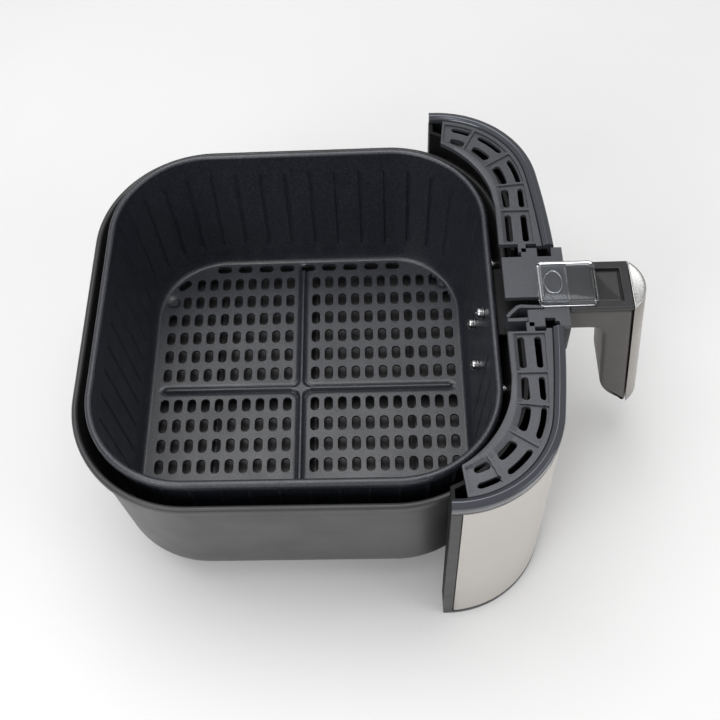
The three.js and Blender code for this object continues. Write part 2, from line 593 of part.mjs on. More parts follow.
function handleGrip() {
  const grip = acrossX(gripProfile(), NECK_HALF);
  const collar = middleBlock(NOTCH_HALF - RUN, -COLLAR_FRONT, -COLLAR_REAR,
    NOTCH_FLOOR + 2 * RUN, DECK_LOW - GAP);
  const root = middleBlock(NECK_HALF, -COLLAR_REAR - 1, -NECK_REAR, ROOT_LOW, DECK_LOW - GAP);
  const well = middleBlock(BUTTON_HALF_X + RUN, -BUTTON_FRONT - RUN, -BUTTON_REAR + RUN,
    HANDLE_TOP - BUTTON_SINK - BUTTON_THICKNESS - BUTTON_TRAVEL - GAP, HANDLE_TOP + 5);
  const tunnel = middleBlock(LATCH_HALF + RUN, -BUTTON_FRONT + 2, -NECK_REAR - 6,
    WELL_FLOOR, HANDLE_TOP - 4);
  const hookWay = middleBlock(LATCH_HALF + RUN, -HOOK_FRONT - 2 * RUN, -HOOK_REAR + HOOK_SWING,
    ROOT_LOW - 20, WELL_FLOOR + 5);
  const deckSeat = middleBlock(FAR, -COLLAR_FRONT, -NECK_REAR + 1, DECK_LOW - GAP, HANDLE_TOP + 5);
  const armSeat = middleBlock(ARM_HALF + RUN, -ARM_FRONT - RUN, 0, ARM_LOW - 20, ARM_TOP + GAP);
  const pinHole = rod(PIN_RADIUS + GAP, PIN_LENGTH + 5, -PIN_LENGTH / 2 - 2.5, -PIVOT_Y, PIVOT_Z,
    'x', 12);
  const pilots = signs.map((side) => rod(
    SCREW_HOLE, 5.5, side * NECK_SCREW_X, -NECK_SCREW_Y, ARM_TOP - 1, 'z', 12));
  const coverHoles = COVER_SCREWS.map((z) => rod(SCREW_HOLE, 60, 0, -GRIP_OUTER - 45.6, z, 'y', 12));
  const coverWells = COVER_SCREWS.map((z) => rod(SCREW_HEAD + GAP, 40, 0,
    -GRIP_OUTER - lean(z) + SCREW_SINK, z, 'y', 12));
  return cut(join(grip, collar, root), well, tunnel, hookWay, deckSeat, armSeat, pinHole,
    ...pilots, ...coverHoles, ...coverWells);
}

// Deck: the plate that fills the notch flush with the vent plates, with a tongue each side.
function neckDeck() {
  const plate = middleBlock(DECK_HALF, -COLLAR_FRONT + GAP, -NECK_REAR, DECK_LOW, HANDLE_TOP);
  const tongues = middleBlock(TONGUE_REACH, -TONGUE_REAR - TONGUE_LENGTH, -TONGUE_REAR,
    DECK_LOW, HANDLE_TOP);
  const wings = middleBlock(NOTCH_HALF - RUN, -COLLAR_FRONT + GAP, -COLLAR_REAR,
    DECK_LOW, HANDLE_TOP);
  const channel = block(...CHANNEL, -TONGUE_REAR - TONGUE_LENGTH + 1, -NECK_REAR + 1,
    DECK_LOW - 1, HANDLE_TOP + 1);
  return cut(join(plate, tongues, wings), channel);
}

// D-shaped cover: a chord across the grip and a bulging front, leaning with the grip.
function coverSection(half, bulge) {
  const radius = (half * half + bulge * bulge) / (2 * bulge);
  const turn = Math.asin(half / radius);
  const shape = new THREE.Shape();
  shape.absarc(0, radius - bulge, radius, Math.PI * 1.5 - turn, Math.PI * 1.5 + turn);
  return shape;
}

function leaningCover(low, top, bulge) {
  const geometry = new THREE.ExtrudeGeometry(coverSection(NECK_HALF, bulge), {
    depth: top - low, bevelEnabled: false, curveSegments: 12,
  });
  const place = geometry.attributes.position;
  for (let i = 0; i < place.count; i += 1) {
    const z = place.getZ(i) + low;
    place.setXYZ(i, place.getX(i), place.getY(i) - GRIP_OUTER - GAP - lean(z), z);
  }
  return solid(geometry);
}

function frontCover() {
  const cover = leaningCover(HANDLE_FOOT, HANDLE_TOP - CAP_THICKNESS - GAP, COVER_BULGE);
  const holes = COVER_SCREWS.map((z) => rod(SCREW_HOLE, 6, 0,
    -GRIP_OUTER - lean(z) - 5, z, 'y', 12));
  return cut(cover, ...holes);
}

function coverScrew(z) {
  const seat = -GRIP_OUTER - lean(z) + SCREW_SINK + GAP;
  return join(
    rod(SCREW_HEAD, SCREW_HEAD_THICKNESS, 0, seat, z, 'y'),
    rod(SCREW_SHANK, 10.5, 0, seat - 10, z, 'y', 12));
}

function neckScrew(side) {
  return join(
    rod(SCREW_HEAD - 0.6, 1.4, side * NECK_SCREW_X, -NECK_SCREW_Y, ARM_LOW - GAP - 1.4, 'z'),
    rod(SCREW_SHANK, 6, side * NECK_SCREW_X, -NECK_SCREW_Y, ARM_LOW - GAP - 0.5, 'z', 12));
}

// ---- button, guard and latch ----
const BUTTON_TOP = HANDLE_TOP - BUTTON_SINK;
const BUTTON_LOW = BUTTON_TOP - BUTTON_THICKNESS;
const ARM_UNDER_BUTTON = (BUTTON_REAR + BUTTON_FRONT) / 2;

function releaseButton() {
  const key = middleBlock(BUTTON_HALF_X, -BUTTON_FRONT, -BUTTON_REAR, BUTTON_LOW, BUTTON_TOP);
  const peg = rod(2.4, BUTTON_LOW - LEVER_TOP - GAP + 0.5, 0, -ARM_UNDER_BUTTON,
    LEVER_TOP + GAP, 'z', 12);
  return join(key, peg);
}

function buttonGuard() {
  const low = HANDLE_TOP + GAP;
  const lid = middleBlock(GUARD_HALF, -GUARD_REAR - GUARD_LENGTH, -GUARD_REAR,
    low, low + GUARD_HEIGHT);
  const hollow = middleBlock(GUARD_HALF - GUARD_WALL, -GUARD_REAR - GUARD_LENGTH + GUARD_WALL,
    -GUARD_REAR - GUARD_WALL, low - 1, low + GUARD_HEIGHT - GUARD_WALL);
  return cut(lid, hollow);
}

function latchLever() {
  const half = LATCH_HALF;
  const arm = middleBlock(half, -BUTTON_FRONT + 4, -PIVOT_Y, LEVER_LOW, LEVER_TOP);
  const beam = middleBlock(half, -PIVOT_Y - 4, -HOOK_REAR, PIVOT_Z - 4, LEVER_TOP);
  const hook = middleBlock(half, -HOOK_FRONT + 1.5, -HOOK_REAR, HOOK_TIP, LEVER_TOP);
  const nose = middleBlock(half, -HOOK_FRONT, -HOOK_REAR, HOOK_TIP,
    KEEPER_TOP - KEEPER_THICKNESS - GAP);
  const hole = rod(PIN_RADIUS + PIN_FIT, 20, -10, -PIVOT_Y, PIVOT_Z, 'x', 16);
  return cut(join(arm, beam, hook, nose), hole);
}

class Helix extends THREE.Curve {
  constructor(radius, pitch, turns) {
    super();
    Object.assign(this, { radius, pitch, turns });
  }

  getPoint(t, target = new THREE.Vector3()) {
    const angle = t * this.turns * Math.PI * 2;
    return target.set(this.radius * Math.cos(angle), this.radius * Math.sin(angle),
      t * this.pitch * this.turns);
  }
}

function coilSpring(radius, wire, low, high, turns) {
  const section = new THREE.Shape();
  section.absarc(0, 0, wire, 0, Math.PI * 2);
  const geometry = new THREE.ExtrudeGeometry(section, {
    steps: turns * 12, curveSegments: 3, bevelEnabled: false,
    extrudePath: new Helix(radius, (high - low - 2 * wire) / turns, turns),
  });
  geometry.translate(0, -ARM_UNDER_BUTTON, low + wire);
  return solid(geometry);
}

// ---- the assembly ----
const drawer = new THREE.Group();

function add(name, body, material) {
  const mesh = new THREE.Mesh(body.isBufferGeometry ? body : surface(body), material);
  mesh.name = name;
  drawer.add(mesh);
}

add('pan', drilledPan(), PAN_PAINT);
add('pan_keeper', keeper(), STEEL);
RIVET_PLACES.forEach(([x, z], i) => add(`keeper_rivet_${i + 1}`, keeperRivet(x, z), STEEL));
PAN_SCREW_PLACES.forEach(([x, z], i) => add(`pan_screw_${i + 1}`, panScrew(x, z), STEEL));
add('fascia_carrier', fasciaCarrier(), BLACK_PLASTIC);
add('fascia_shell', fasciaShell(), GREY_PLASTIC);
add('front_panel', frontPanel(), STAINLESS);
add('trim_strip_left', trimStrip(-1), GLOSS_BLACK);
add('trim_strip_right', trimStrip(1), GLOSS_BLACK);
add('vent_plate_left', ventPlate(-1), GREY_PLASTIC);
add('vent_plate_right', ventPlate(1), GREY_PLASTIC);

add('basket', basket(), NONSTICK);
add('handle_bracket', handleBracket(), STEEL);
SCREW_PLACES.forEach(([x, z], i) => {
  add(`basket_screw_${i + 1}`, onFrontWall(basketScrew(), x, z), STEEL);
  add(`basket_washer_${i + 1}`, onFrontWall(basketWasher(), x, z), STEEL);
});
signs.forEach((side, i) => add(`neck_screw_${i + 1}`, neckScrew(side), STEEL));
add('handle_grip', handleGrip(), BLACK_PLASTIC);
add('neck_deck', neckDeck(), GREY_PLASTIC);
add('handle_cover', frontCover(), STAINLESS);
add('handle_cap', leaningCover(HANDLE_TOP - CAP_THICKNESS, HANDLE_TOP, COVER_BULGE), STAINLESS);
COVER_SCREWS.forEach((z, i) => add(`cover_screw_${i + 1}`, coverScrew(z), STEEL));
add('latch_pin', rod(PIN_RADIUS, PIN_LENGTH, -PIN_LENGTH / 2, -PIVOT_Y, PIVOT_Z, 'x', 16), STEEL);

add('latch_lever', latchLever(), STEEL);
add('release_button', releaseButton(), BLACK_PLASTIC);
add('button_spring', coilSpring(2.4, 0.35, WELL_FLOOR + GAP, LEVER_LOW - GAP, 5), STEEL);
add('button_guard', buttonGuard(), CLEAR);

export default drawer;
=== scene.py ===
"""Removable drawer of a square air fryer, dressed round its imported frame.

Every new piece is a surface worked out with numpy. Lengths are in millimetres until a mesh is
made, in the frame's own coordinates: +Z up, -Y towards the handle, and the origin at the centre
of the pan's flat underside.
"""

import math

import bmesh
import bpy
import numpy as np
from bpy.props import FloatProperty, FloatVectorProperty, IntProperty, PointerProperty
from mathutils import Matrix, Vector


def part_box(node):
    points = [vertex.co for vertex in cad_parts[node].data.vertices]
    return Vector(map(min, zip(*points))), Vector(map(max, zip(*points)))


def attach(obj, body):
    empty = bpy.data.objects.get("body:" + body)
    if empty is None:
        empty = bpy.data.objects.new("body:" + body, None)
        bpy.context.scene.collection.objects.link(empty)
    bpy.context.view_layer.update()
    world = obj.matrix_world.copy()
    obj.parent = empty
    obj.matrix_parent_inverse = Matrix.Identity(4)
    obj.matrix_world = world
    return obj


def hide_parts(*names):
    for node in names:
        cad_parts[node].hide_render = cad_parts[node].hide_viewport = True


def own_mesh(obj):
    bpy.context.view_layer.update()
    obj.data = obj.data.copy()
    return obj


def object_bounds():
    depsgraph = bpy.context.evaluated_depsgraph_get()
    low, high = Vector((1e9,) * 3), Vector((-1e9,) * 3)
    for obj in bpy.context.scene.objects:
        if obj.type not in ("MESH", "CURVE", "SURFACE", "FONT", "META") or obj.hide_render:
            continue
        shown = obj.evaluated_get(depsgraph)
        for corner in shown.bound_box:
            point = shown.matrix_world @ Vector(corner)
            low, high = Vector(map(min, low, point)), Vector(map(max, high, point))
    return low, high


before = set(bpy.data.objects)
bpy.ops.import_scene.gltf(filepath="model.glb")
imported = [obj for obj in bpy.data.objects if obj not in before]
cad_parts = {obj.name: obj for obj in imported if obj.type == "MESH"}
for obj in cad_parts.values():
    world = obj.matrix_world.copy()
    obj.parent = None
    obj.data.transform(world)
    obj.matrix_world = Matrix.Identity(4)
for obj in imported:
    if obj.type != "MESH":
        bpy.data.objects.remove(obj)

bl_info = {
    "name": "Air Fryer Drawer",
    "version": (1, 0, 0),
    "blender": (4, 5, 0),
    "location": "3D View > Sidebar > Drawer",
    "description": "Builds the basket, pan, curved front and handle of an air fryer drawer",
    "category": "Add Mesh",
}

CAD_BOX = [list(map(float, corner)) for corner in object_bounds()]
MM = 0.001


def box(node):
    """Lowest and highest corner of a CAD node, in millimetres."""
    low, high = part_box(node)
    return np.array(low, float) / MM, np.array(high, float) / MM


# ---------------------------------------------------------------- settings

def length(name, description, default, **limits):
    return FloatProperty(name=name, description=description, default=default, **limits)


def colour(name, description, default):
    return FloatVectorProperty(name=name, description=description, default=default,
                               subtype="COLOR", size=3, min=0.0, max=1.0)


class DRAWER_PG_sizes(bpy.types.PropertyGroup):
    """Sizes of the details that the looks add to the frame, in millimetres."""

    flute_depth: length("Flute depth", "How far the wall's flutes are pressed outwards, mm", 1.1)
    flute_width: length("Flute width", "Half width of a flute, mm", 1.5)
    flute_count: IntProperty(name="Flutes", description="Flutes round the wall", default=50)
    bead_height: length("Bead height", "Height of the floor's raised cross, mm", 1.1)
    groove_depth: length("Groove depth", "Depth of the grooves beside the cross, mm", 0.9)
    pocket_depth: length("Pocket depth", "Depth of the vent plates' pockets, mm", 1.5)
    edge_radius: length("Edge radius", "Rounding of the handle's edges, mm", 2.4)


class DRAWER_PG_colours(bpy.types.PropertyGroup):
    """Base colours of the finishes, as linear values."""

    coating: colour("Coating", "Non-stick coating of the basket", (0.0135, 0.015, 0.021))
    pan_paint: colour("Pan paint", "Satin paint outside the pan", (0.036, 0.036, 0.038))
    grey_plastic: colour("Grey plastic", "Metallic grey vent plates", (0.062, 0.064, 0.072))
    frame_grey: colour("Frame grey", "Grey frame of the front", (0.026, 0.026, 0.028))
    black_plastic: colour("Black plastic", "Grip, carrier and button", (0.016, 0.016, 0.017))
    gloss_black: colour("Gloss black", "Polished smoky strip on the front", (0.085, 0.09, 0.105))
    stainless: colour("Stainless", "Steel sheet of the front", (0.62, 0.59, 0.555))
    hardware: colour("Hardware", "Screws, washers and plates", (0.55, 0.55, 0.56))
    # Painted shade: a darker copy of the black plastic, for the shade inside the front and under
    # the deck.
    recess: colour("Recess", "Dull black inside the front", (0.006, 0.006, 0.007))
    grip_grey: colour("Grip", "Neck and leaning grip", (0.062, 0.057, 0.053))
    cover: colour("Cover", "Brushed cover of the grip", (0.34, 0.315, 0.29))
    cap: colour("Cap", "Cap on the handle", (0.62, 0.62, 0.61))


def sizes():
    return bpy.context.scene.drawer_sizes


def base_colour(name):
    return tuple(getattr(bpy.context.scene.drawer_colours, name))


# ---------------------------------------------------------------- meshes

def number_grid(rows, columns):
    return np.arange(rows * columns).reshape(rows, columns)


def quads_of(numbers):
    """Quads of a grid of point numbers: each joins a point to the next ones along both ways."""
    return np.stack([numbers[:-1, :-1], numbers[1:, :-1], numbers[1:, 1:], numbers[:-1, 1:]],
                    axis=-1)


def closed(numbers):
    """The grid with its first column repeated after its last, so that each row is a ring."""
    return np.concatenate([numbers, numbers[:, :1]], axis=1)


def crossed(first, second):
    """Grid of flat points at every pair of two lists of lines."""
    return np.stack(np.meshgrid(first, second, indexing="ij"), axis=-1)


def between(lines):
    """The places halfway between neighbouring lines."""
    return (lines[1:] + lines[:-1]) / 2


def both_sides(values):
    """The values and their negatives."""
    values = np.asarray(values, float)
    return np.concatenate([-values, values])


def circle(angle):
    """Flat points of the unit circle."""
    return np.stack([np.cos(angle), np.sin(angle)], axis=-1)


def lifted(flat, height):
    """Flat points raised to a height, which may differ from point to point."""
    height = np.broadcast_to(height, flat.shape[:-1])
    return np.concatenate([flat, height[..., None]], axis=-1)


def grid_patch(grid, numbers=None):
    """Quads over a grid of points."""
    numbers = number_grid(*grid.shape[:2]) if numbers is None else numbers
    return grid.reshape(-1, 3), quads_of(numbers).reshape(-1, 4)


def ring_patch(rings):
    """Quads between rings of points; rings is (levels, points round, 3)."""
    return grid_patch(rings, closed(number_grid(*rings.shape[:2])))


def cap_patch(ring):
    """One flat face over a ring, which may be hollow on one side."""
    return ring, np.arange(len(ring))[None]


def solid_rings(rings):
    """Patches of a closed body: rings of points, with a flat face on the first and last ring."""
    return [ring_patch(rings), cap_patch(rings[0]), cap_patch(rings[-1])]


def zip_patch(inner, outer, middle=(0.0, 0.0)):
    """Triangles between two loops round the same middle: both are put in order of angle, and
    each point in turn makes a triangle with the last point of each loop."""

    def turn(loop):
        return np.arctan2(loop[:, 1] - middle[1], loop[:, 0] - middle[0])

    inner, outer = (loop[np.argsort(turn(loop))] for loop in (inner, outer))
    angles = [turn(inner), turn(outer)]
    order = np.argsort(np.concatenate(angles), kind="stable")
    from_inner = order < len(inner)
    at_inner = (np.cumsum(from_inner) - 1) % len(inner)
    at_outer = (np.cumsum(~from_inner) - 1) % len(outer)
    first = np.where(from_inner, (at_inner - 1) % len(inner), at_inner)
    second = np.where(from_inner, at_inner, len(inner) + at_outer)
    third = len(inner) + np.where(from_inner, at_outer, (at_outer - 1) % len(outer))
    return np.concatenate([inner, outer]), np.stack([first, second, third], axis=1)


def plate_patch(top, bottom, solid, walls=None):
    """Patches of a plate between two matching grids of points. A cell where solid is True gets a
    quad on each grid, and a wall joins the grids wherever a solid cell meets one of walls, which
    is True for the open cells, with one more cell on every side than the plate has."""
    rows, columns = top.shape[:2]
    if walls is None:
        walls = ~np.pad(solid, 1)
    above = number_grid(rows, columns)
    below = above + rows * columns
    faces = [quads_of(above)[solid], quads_of(below)[solid]]
    inside = np.pad(solid, 1)
    for axis in (0, 1):
        turned = (inside.T, walls.T, above.T, below.T) if axis else (inside, walls, above, below)
        full, empty, up, down = turned
        one = (full[1:, 1:-1] & empty[:-1, 1:-1]) | (full[:-1, 1:-1] & empty[1:, 1:-1])
        i, j = np.nonzero(one)
        faces.append(np.stack([up[i, j], up[i, j + 1], down[i, j + 1], down[i, j]], axis=1))
    points = np.concatenate([top.reshape(-1, 3), bottom.reshape(-1, 3)])
    return points, np.concatenate(faces)


def placed(name, data, matrix=None):
    """A new object in the scene, set down by a matrix if one is given."""
    made = bpy.data.objects.new(name, data)
    if matrix is not None:
        made.matrix_world = matrix
    bpy.context.scene.collection.objects.link(made)
    return made


def piece(name, patches, body, finish, stands_for=(), crease=38.0):
    """One mesh object from patches of (points in millimetres, faces): points that coincide are
    merged, faces are turned outwards, and edges sharper than crease degrees stay sharp."""
    count, points, faces = 0, [], []
    for patch_points, patch_faces in patches:
        points.append(patch_points)
        faces += (np.asarray(patch_faces) + count).tolist()
        count += len(patch_points)
    mesh = bpy.data.meshes.new(name)
    mesh.from_pydata(np.concatenate(points) * MM, [], faces)
    work = bmesh.new()
    work.from_mesh(mesh)
    bmesh.ops.remove_doubles(work, verts=work.verts, dist=2e-6)
    loose = [vertex for vertex in work.verts if not vertex.link_faces]
    bmesh.ops.delete(work, geom=loose, context="VERTS")
    bmesh.ops.recalc_face_normals(work, faces=work.faces)
    work.to_mesh(mesh)
    work.free()
    mesh.shade_smooth()
    mesh.set_sharp_from_angle(angle=math.radians(crease))
    mesh.materials.append(finish())
    made = placed(name, mesh)
    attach(made, body)
    if stands_for:
        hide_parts(*stands_for)
    return made


# ---------------------------------------------------------------- shapes

def smooth(x):
    """Smooth step: 3x^2 - 2x^3 of x held between 0 and 1."""
    x = np.clip(x, 0.0, 1.0)
    return x * x * (3.0 - 2.0 * x)


def round_square(run, arm, radius):
    """Outline of a square with round corners, by the distance run along it. The corner centres
    are arm from the middle. A side is a line one radius outside them and a corner a quarter
    circle. Returns the point that each place is measured from and the outward direction there,
    so that a wall of half width w stands at base + (w - arm) * normal."""
    quarter = 2 * arm + radius * math.pi / 2
    turn, along = np.divmod(np.asarray(run, float), quarter)
    on_side = along < 2 * arm
    angle = np.where(on_side, 0.0, (along - 2 * arm) / radius)
    base = np.stack([np.full_like(along, arm), np.where(on_side, along - arm, arm)], axis=-1)
    normal = np.stack([np.cos(angle), np.sin(angle)], axis=-1)
    spin = turn * math.pi / 2
    c, s = np.cos(spin), np.sin(spin)

    def turned(v):
        return np.stack([c * v[..., 0] - s * v[..., 1], s * v[..., 0] + c * v[..., 1]], axis=-1)

    return turned(base), turned(normal)


def tub_rings(run, arm, radius, profile, push=0.0):
    """A tub's wall: at each (half width, height) of the profile the outline stands at that half
    width, plus push, which may vary along both."""
    base, normal = round_square(run, arm, radius)
    width, height = np.asarray(profile, float).T
    reach = width[:, None] - arm + push
    return lifted(base[None] + reach[..., None] * normal[None], height[:, None])


def arc(centre, radius, start, end, steps):
    """Points of an arc from start to end degrees about centre."""
    return np.asarray(centre) + radius * circle(np.radians(np.linspace(start, end, steps)))


def fillet_foot(flat, wall, low, high, steps=9):
    """Quarter of an ellipse from the flat floor up into the wall."""
    t = np.linspace(0, math.pi / 2, steps)
    return np.stack([flat + (wall - flat) * np.sin(t), low + (high - low) * (1 - np.cos(t))], 1)


def stadium_shift(place, half_length, half_width, grow, reach=1.6):
    """How far a point moves so that a rectangle's edge becomes a slot with round ends, grow
    wider all round. The edge of the rectangle is walked at even speed and laid on the slot's
    edge, and the move fades out over reach beyond it."""
    x, y = place[..., 0], place[..., 1]
    level = np.maximum(np.maximum(np.abs(x) / half_length, np.abs(y) / half_width), 1e-6)
    ex, ey = np.abs(x) / level, np.abs(y) / level
    walked = np.where(ex > half_length - 1e-9, ey, half_width + half_length - ex)
    angle = np.clip(walked / (2 * half_width), 0, 1) * math.pi / 2
    centre = half_length - half_width
    tx = np.where(ex > centre, centre + (half_width + grow) * np.cos(angle), ex)
    ty = np.where(ex > centre, (half_width + grow) * np.sin(angle), half_width + grow)
    beyond = np.maximum(np.abs(x) - half_length, np.abs(y) - half_width)
    weight = np.clip(1 - beyond / reach, 0, 1)
    shift = np.stack([np.sign(x) * (tx - ex), np.sign(y) * (ty - ey)], axis=-1)
    return shift * weight[..., None]


def nearest_slot(points, slots):
    """The number of the slot whose rectangle each point is nearest to, and the distance to it,
    which is negative inside. slots is one row of x, y, half length, half width and quarter turn
    for each."""
    offset = points[..., None, :] - slots[:, :2]
    turned = np.where(slots[:, 4:] > 0.5, offset[..., ::-1], offset)
    gap = np.max(np.abs(turned) - slots[:, 2:4], axis=-1)
    return np.argmin(gap, axis=-1), np.min(gap, axis=-1)


def shape_slots(grid, slots, grow):
    """A flat grid with its slot rectangles rounded: each point moves by stadium_shift of the
    slot nearest to it."""
    own = slots[nearest_slot(grid, slots)[0]]
    place = grid - own[..., :2]
    turned = own[..., 4:] > 0.5
    shift = stadium_shift(np.where(turned, place[..., ::-1], place), own[..., 2], own[..., 3],
                          grow)
    return grid + np.where(turned, shift[..., ::-1], shift)


def soft_box(low, high, radius, steps=3):
    """A box with rounded edges: points of the box's faces, moved towards the nearest point of the
    box shrunk by radius until they are radius away from it."""
    low, high = np.asarray(low, float), np.asarray(high, float)
    edge = radius * (1 - np.cos(np.linspace(0, math.pi / 2, steps + 1)))
    patches = []
    for axis in range(3):
        u, v = (axis + 1) % 3, (axis + 2) % 3
        flat = crossed(*(np.concatenate([low[k] + edge, (high[k] - edge)[::-1]]) for k in (u, v)))
        for side in (low[axis], high[axis]):
            grid = np.full(flat.shape[:2] + (3,), side)
            grid[..., [u, v]] = flat
            core = np.clip(grid, low + radius, high - radius)
            away = grid - core
            away /= np.maximum(np.linalg.norm(away, axis=-1, keepdims=True), 1e-9)
            patches.append(grid_patch(core + radius * away))
    return patches


def turned_body(profile, steps=24):
    """A profile of (radius, height) turned about the Z axis; its ends close on the axis."""
    radius, height = np.asarray(profile, float).T
    way = circle(np.linspace(0, 2 * math.pi, steps, endpoint=False))
    return solid_rings(lifted(radius[:, None, None] * way, height[:, None]))


def moved(patches, matrix):
    """Patches carried by a 4 by 4 matrix."""
    m = np.array(matrix, float)
    return [(points @ m[:3, :3].T + m[:3, 3], faces) for points, faces in patches]


def across_x(outline, half, radius, steps=4):
    """A closed (y, z) outline carried across X from -half to half, with edges rounded by radius:
    near each side the outline is drawn in along its own normal by a quarter circle."""
    following = np.roll(outline, -1, axis=0) - np.roll(outline, 1, axis=0)
    normal = np.stack([following[:, 1], -following[:, 0]], axis=1)
    normal /= np.linalg.norm(normal, axis=1, keepdims=True)
    area = np.sum(outline[:, 0] * np.roll(outline[:, 1], -1)
                  - np.roll(outline[:, 0], -1) * outline[:, 1])
    normal *= np.sign(area)
    t = np.linspace(0, math.pi / 2, steps + 1)
    draw = radius * (1 - np.sin(t))
    side = half - radius * (1 - np.cos(t))
    draw = np.concatenate([draw, draw[::-1]])
    x = np.concatenate([-side, side[::-1]])
    flat = outline[None] - draw[:, None, None] * normal[None]
    return np.concatenate([np.broadcast_to(x[:, None, None], flat.shape[:2] + (1,)), flat], 2)


# ---------------------------------------------------------------- finishes

class Finish:
    """A material under construction: a Principled shader and the nodes that feed it."""

    def __init__(self, name, base, roughness, metallic=0.0, **inputs):
        self.material = bpy.data.materials.new(name)
        self.material.use_nodes = True
        self.nodes = self.material.node_tree.nodes
        self.links = self.material.node_tree.links
        self.shader = self.nodes["Principled BSDF"]
        self.fill(self.shader, Base_Color=(*base, 1.0), Roughness=roughness, Metallic=metallic,
                  **inputs)
        self.place = self.add("TexCoord").outputs["Object"]

    def fill(self, node, **inputs):
        """Gives a node's inputs their values, or links them where the value is a socket."""
        for name, value in inputs.items():
            socket = node.inputs[name.replace("_", " ")]
            if isinstance(value, bpy.types.NodeSocket):
                self.links.new(value, socket)
            else:
                socket.default_value = value

    def add(self, kind, **inputs):
        node = self.nodes.new(f"ShaderNode{kind}")
        self.fill(node, **inputs)
        return node

    def mapped(self, scale):
        """Object coordinates, scaled along each axis."""
        return self.add("Mapping", Scale=scale, Vector=self.place).outputs["Vector"]

    def noise(self, scale, detail=2.0, rough=0.5, vector=None):
        return self.add("TexNoise", Scale=scale, Detail=detail, Roughness=rough,
                        Vector=vector or self.place).outputs["Fac"]

    def spots(self, scale):
        """Distance to the nearest of many scattered points."""
        return self.add("TexVoronoi", Scale=scale, Vector=self.place).outputs["Distance"]

    def spread(self, value, to_low=0.0, to_high=1.0, low=0.3, high=0.7):
        """Carries low to to_low and high to to_high, and holds the ends."""
        return self.add("MapRange", Value=value, From_Min=low, From_Max=high, To_Min=to_low,
                        To_Max=to_high).outputs["Result"]

    def blend(self, factor, first, second):
        """Mixes two colours; each is a tuple or the socket of an earlier blend."""
        node = self.add("Mix")
        node.data_type = "RGBA"
        self.links.new(factor, node.inputs[0])
        for socket, value in ((node.inputs[6], first), (node.inputs[7], second)):
            if isinstance(value, tuple):
                socket.default_value = (*value, 1.0)
            else:
                self.links.new(value, socket)
        return node.outputs[2]

    def tint(self, factor, base, dark, light):
        """Base colour that goes from a darker to a lighter shade of base."""
        self.fill(self.shader, Base_Color=self.blend(factor, shade(base, dark),
                                                     shade(base, light)))

    def gloss(self, scale, low, high, detail=2.0):
        """Roughness that drifts between two values in patches."""
        self.fill(self.shader, Roughness=self.spread(self.noise(scale, detail), low, high))

    def bump(self, value, distance, strength):
        """Surface height from value, distance metres high."""
        node = self.add("Bump", Distance=distance, Strength=strength, Height=value)
        self.fill(self.shader, Normal=node.outputs["Normal"])


def shade(base, factor):
    return tuple(min(1.0, channel * factor) for channel in base)


def finish_for(slot):
    """Marks a function that makes the finish of a material slot. The finish is made once, and
    then handed out again by the function's name."""

    def known(make):
        def fetch():
            return bpy.data.materials.get(make.__name__) or make(make.__name__)

        fetch.slot = slot
        return fetch

    return known


@finish_for("nonstick")
def nonstick_coating(name):
    """Charcoal coating: fine pale flecks and a pebbled surface, duller and lighter in patches."""
    base = base_colour("coating")
    finish = Finish(name, base, 0.38, Specular_IOR_Level=0.85)
    flecks = finish.spread(finish.spots(750.0), 1.0, 0.0, 0.12, 0.30)
    grains = finish.spread(finish.noise(900.0, 3.0), low=0.38, high=0.68)
    ground = finish.blend(grains, shade(base, 0.72), shade(base, 1.7))
    finish.fill(finish.shader, Base_Color=finish.blend(flecks, ground, shade(base, 5.0)))
    finish.gloss(45.0, 0.33, 0.45, 3.0)
    finish.bump(finish.noise(1000.0), 0.00014, 0.9)
    return finish.material


@finish_for("pan_paint")
def satin_pan_paint(name):
    """Satin dark paint: an even, very fine grain, with a slow change of gloss."""
    base = base_colour("pan_paint")
    finish = Finish(name, base, 0.4, Specular_IOR_Level=0.5)
    grains = finish.spread(finish.noise(1600.0), low=0.35, high=0.65)
    finish.tint(grains, base, 0.85, 1.3)
    finish.gloss(30.0, 0.36, 0.46)
    finish.bump(finish.noise(1500.0, 1.0), 0.00005, 0.5)
    return finish.material


def moulded(name, base, roughness, grain, metallic=0.0, sparkle=1.25):
    """Moulded plastic: a fine spark-eroded grain and faint cloudy changes of colour."""
    finish = Finish(name, base, roughness, metallic, Specular_IOR_Level=0.5)
    cloud = finish.spread(finish.noise(60.0))
    fine = finish.spread(finish.noise(2200.0), low=0.4, high=0.6)
    ground = finish.blend(cloud, shade(base, 0.92), shade(base, 1.08))
    finish.fill(finish.shader, Base_Color=finish.blend(fine, ground, shade(base, sparkle)))
    finish.gloss(90.0, roughness - 0.04, roughness + 0.05)
    finish.bump(finish.noise(1800.0), grain, 0.6)
    return finish.material


@finish_for("grey_plastic")
def vent_grey(name):
    return moulded(name, base_colour("grey_plastic"), 0.42, 0.00006, 0.35, 1.5)


@finish_for("grey_plastic")
def frame_plastic(name):
    return moulded(name, base_colour("frame_grey"), 0.38, 0.00004, 0.2)


@finish_for("black_plastic")
def satin_black(name):
    return moulded(name, base_colour("black_plastic"), 0.45, 0.00006)


@finish_for("black_plastic")
def grip_plastic(name):
    return moulded(name, base_colour("grip_grey"), 0.40, 0.00004)


@finish_for("black_plastic")
def recess_black(name):
    """Dull black plastic inside the front and under the deck; its colour is darker than the other
    black plastic, as painted shade in these hollows.
    """
    base = base_colour("recess")
    finish = Finish(name, base, 0.62, Specular_IOR_Level=0.22)
    finish.tint(finish.spread(finish.noise(70.0)), base, 0.8, 1.3)
    finish.gloss(90.0, 0.56, 0.68)
    finish.bump(finish.noise(1600.0), 0.00005, 0.5)
    return finish.material


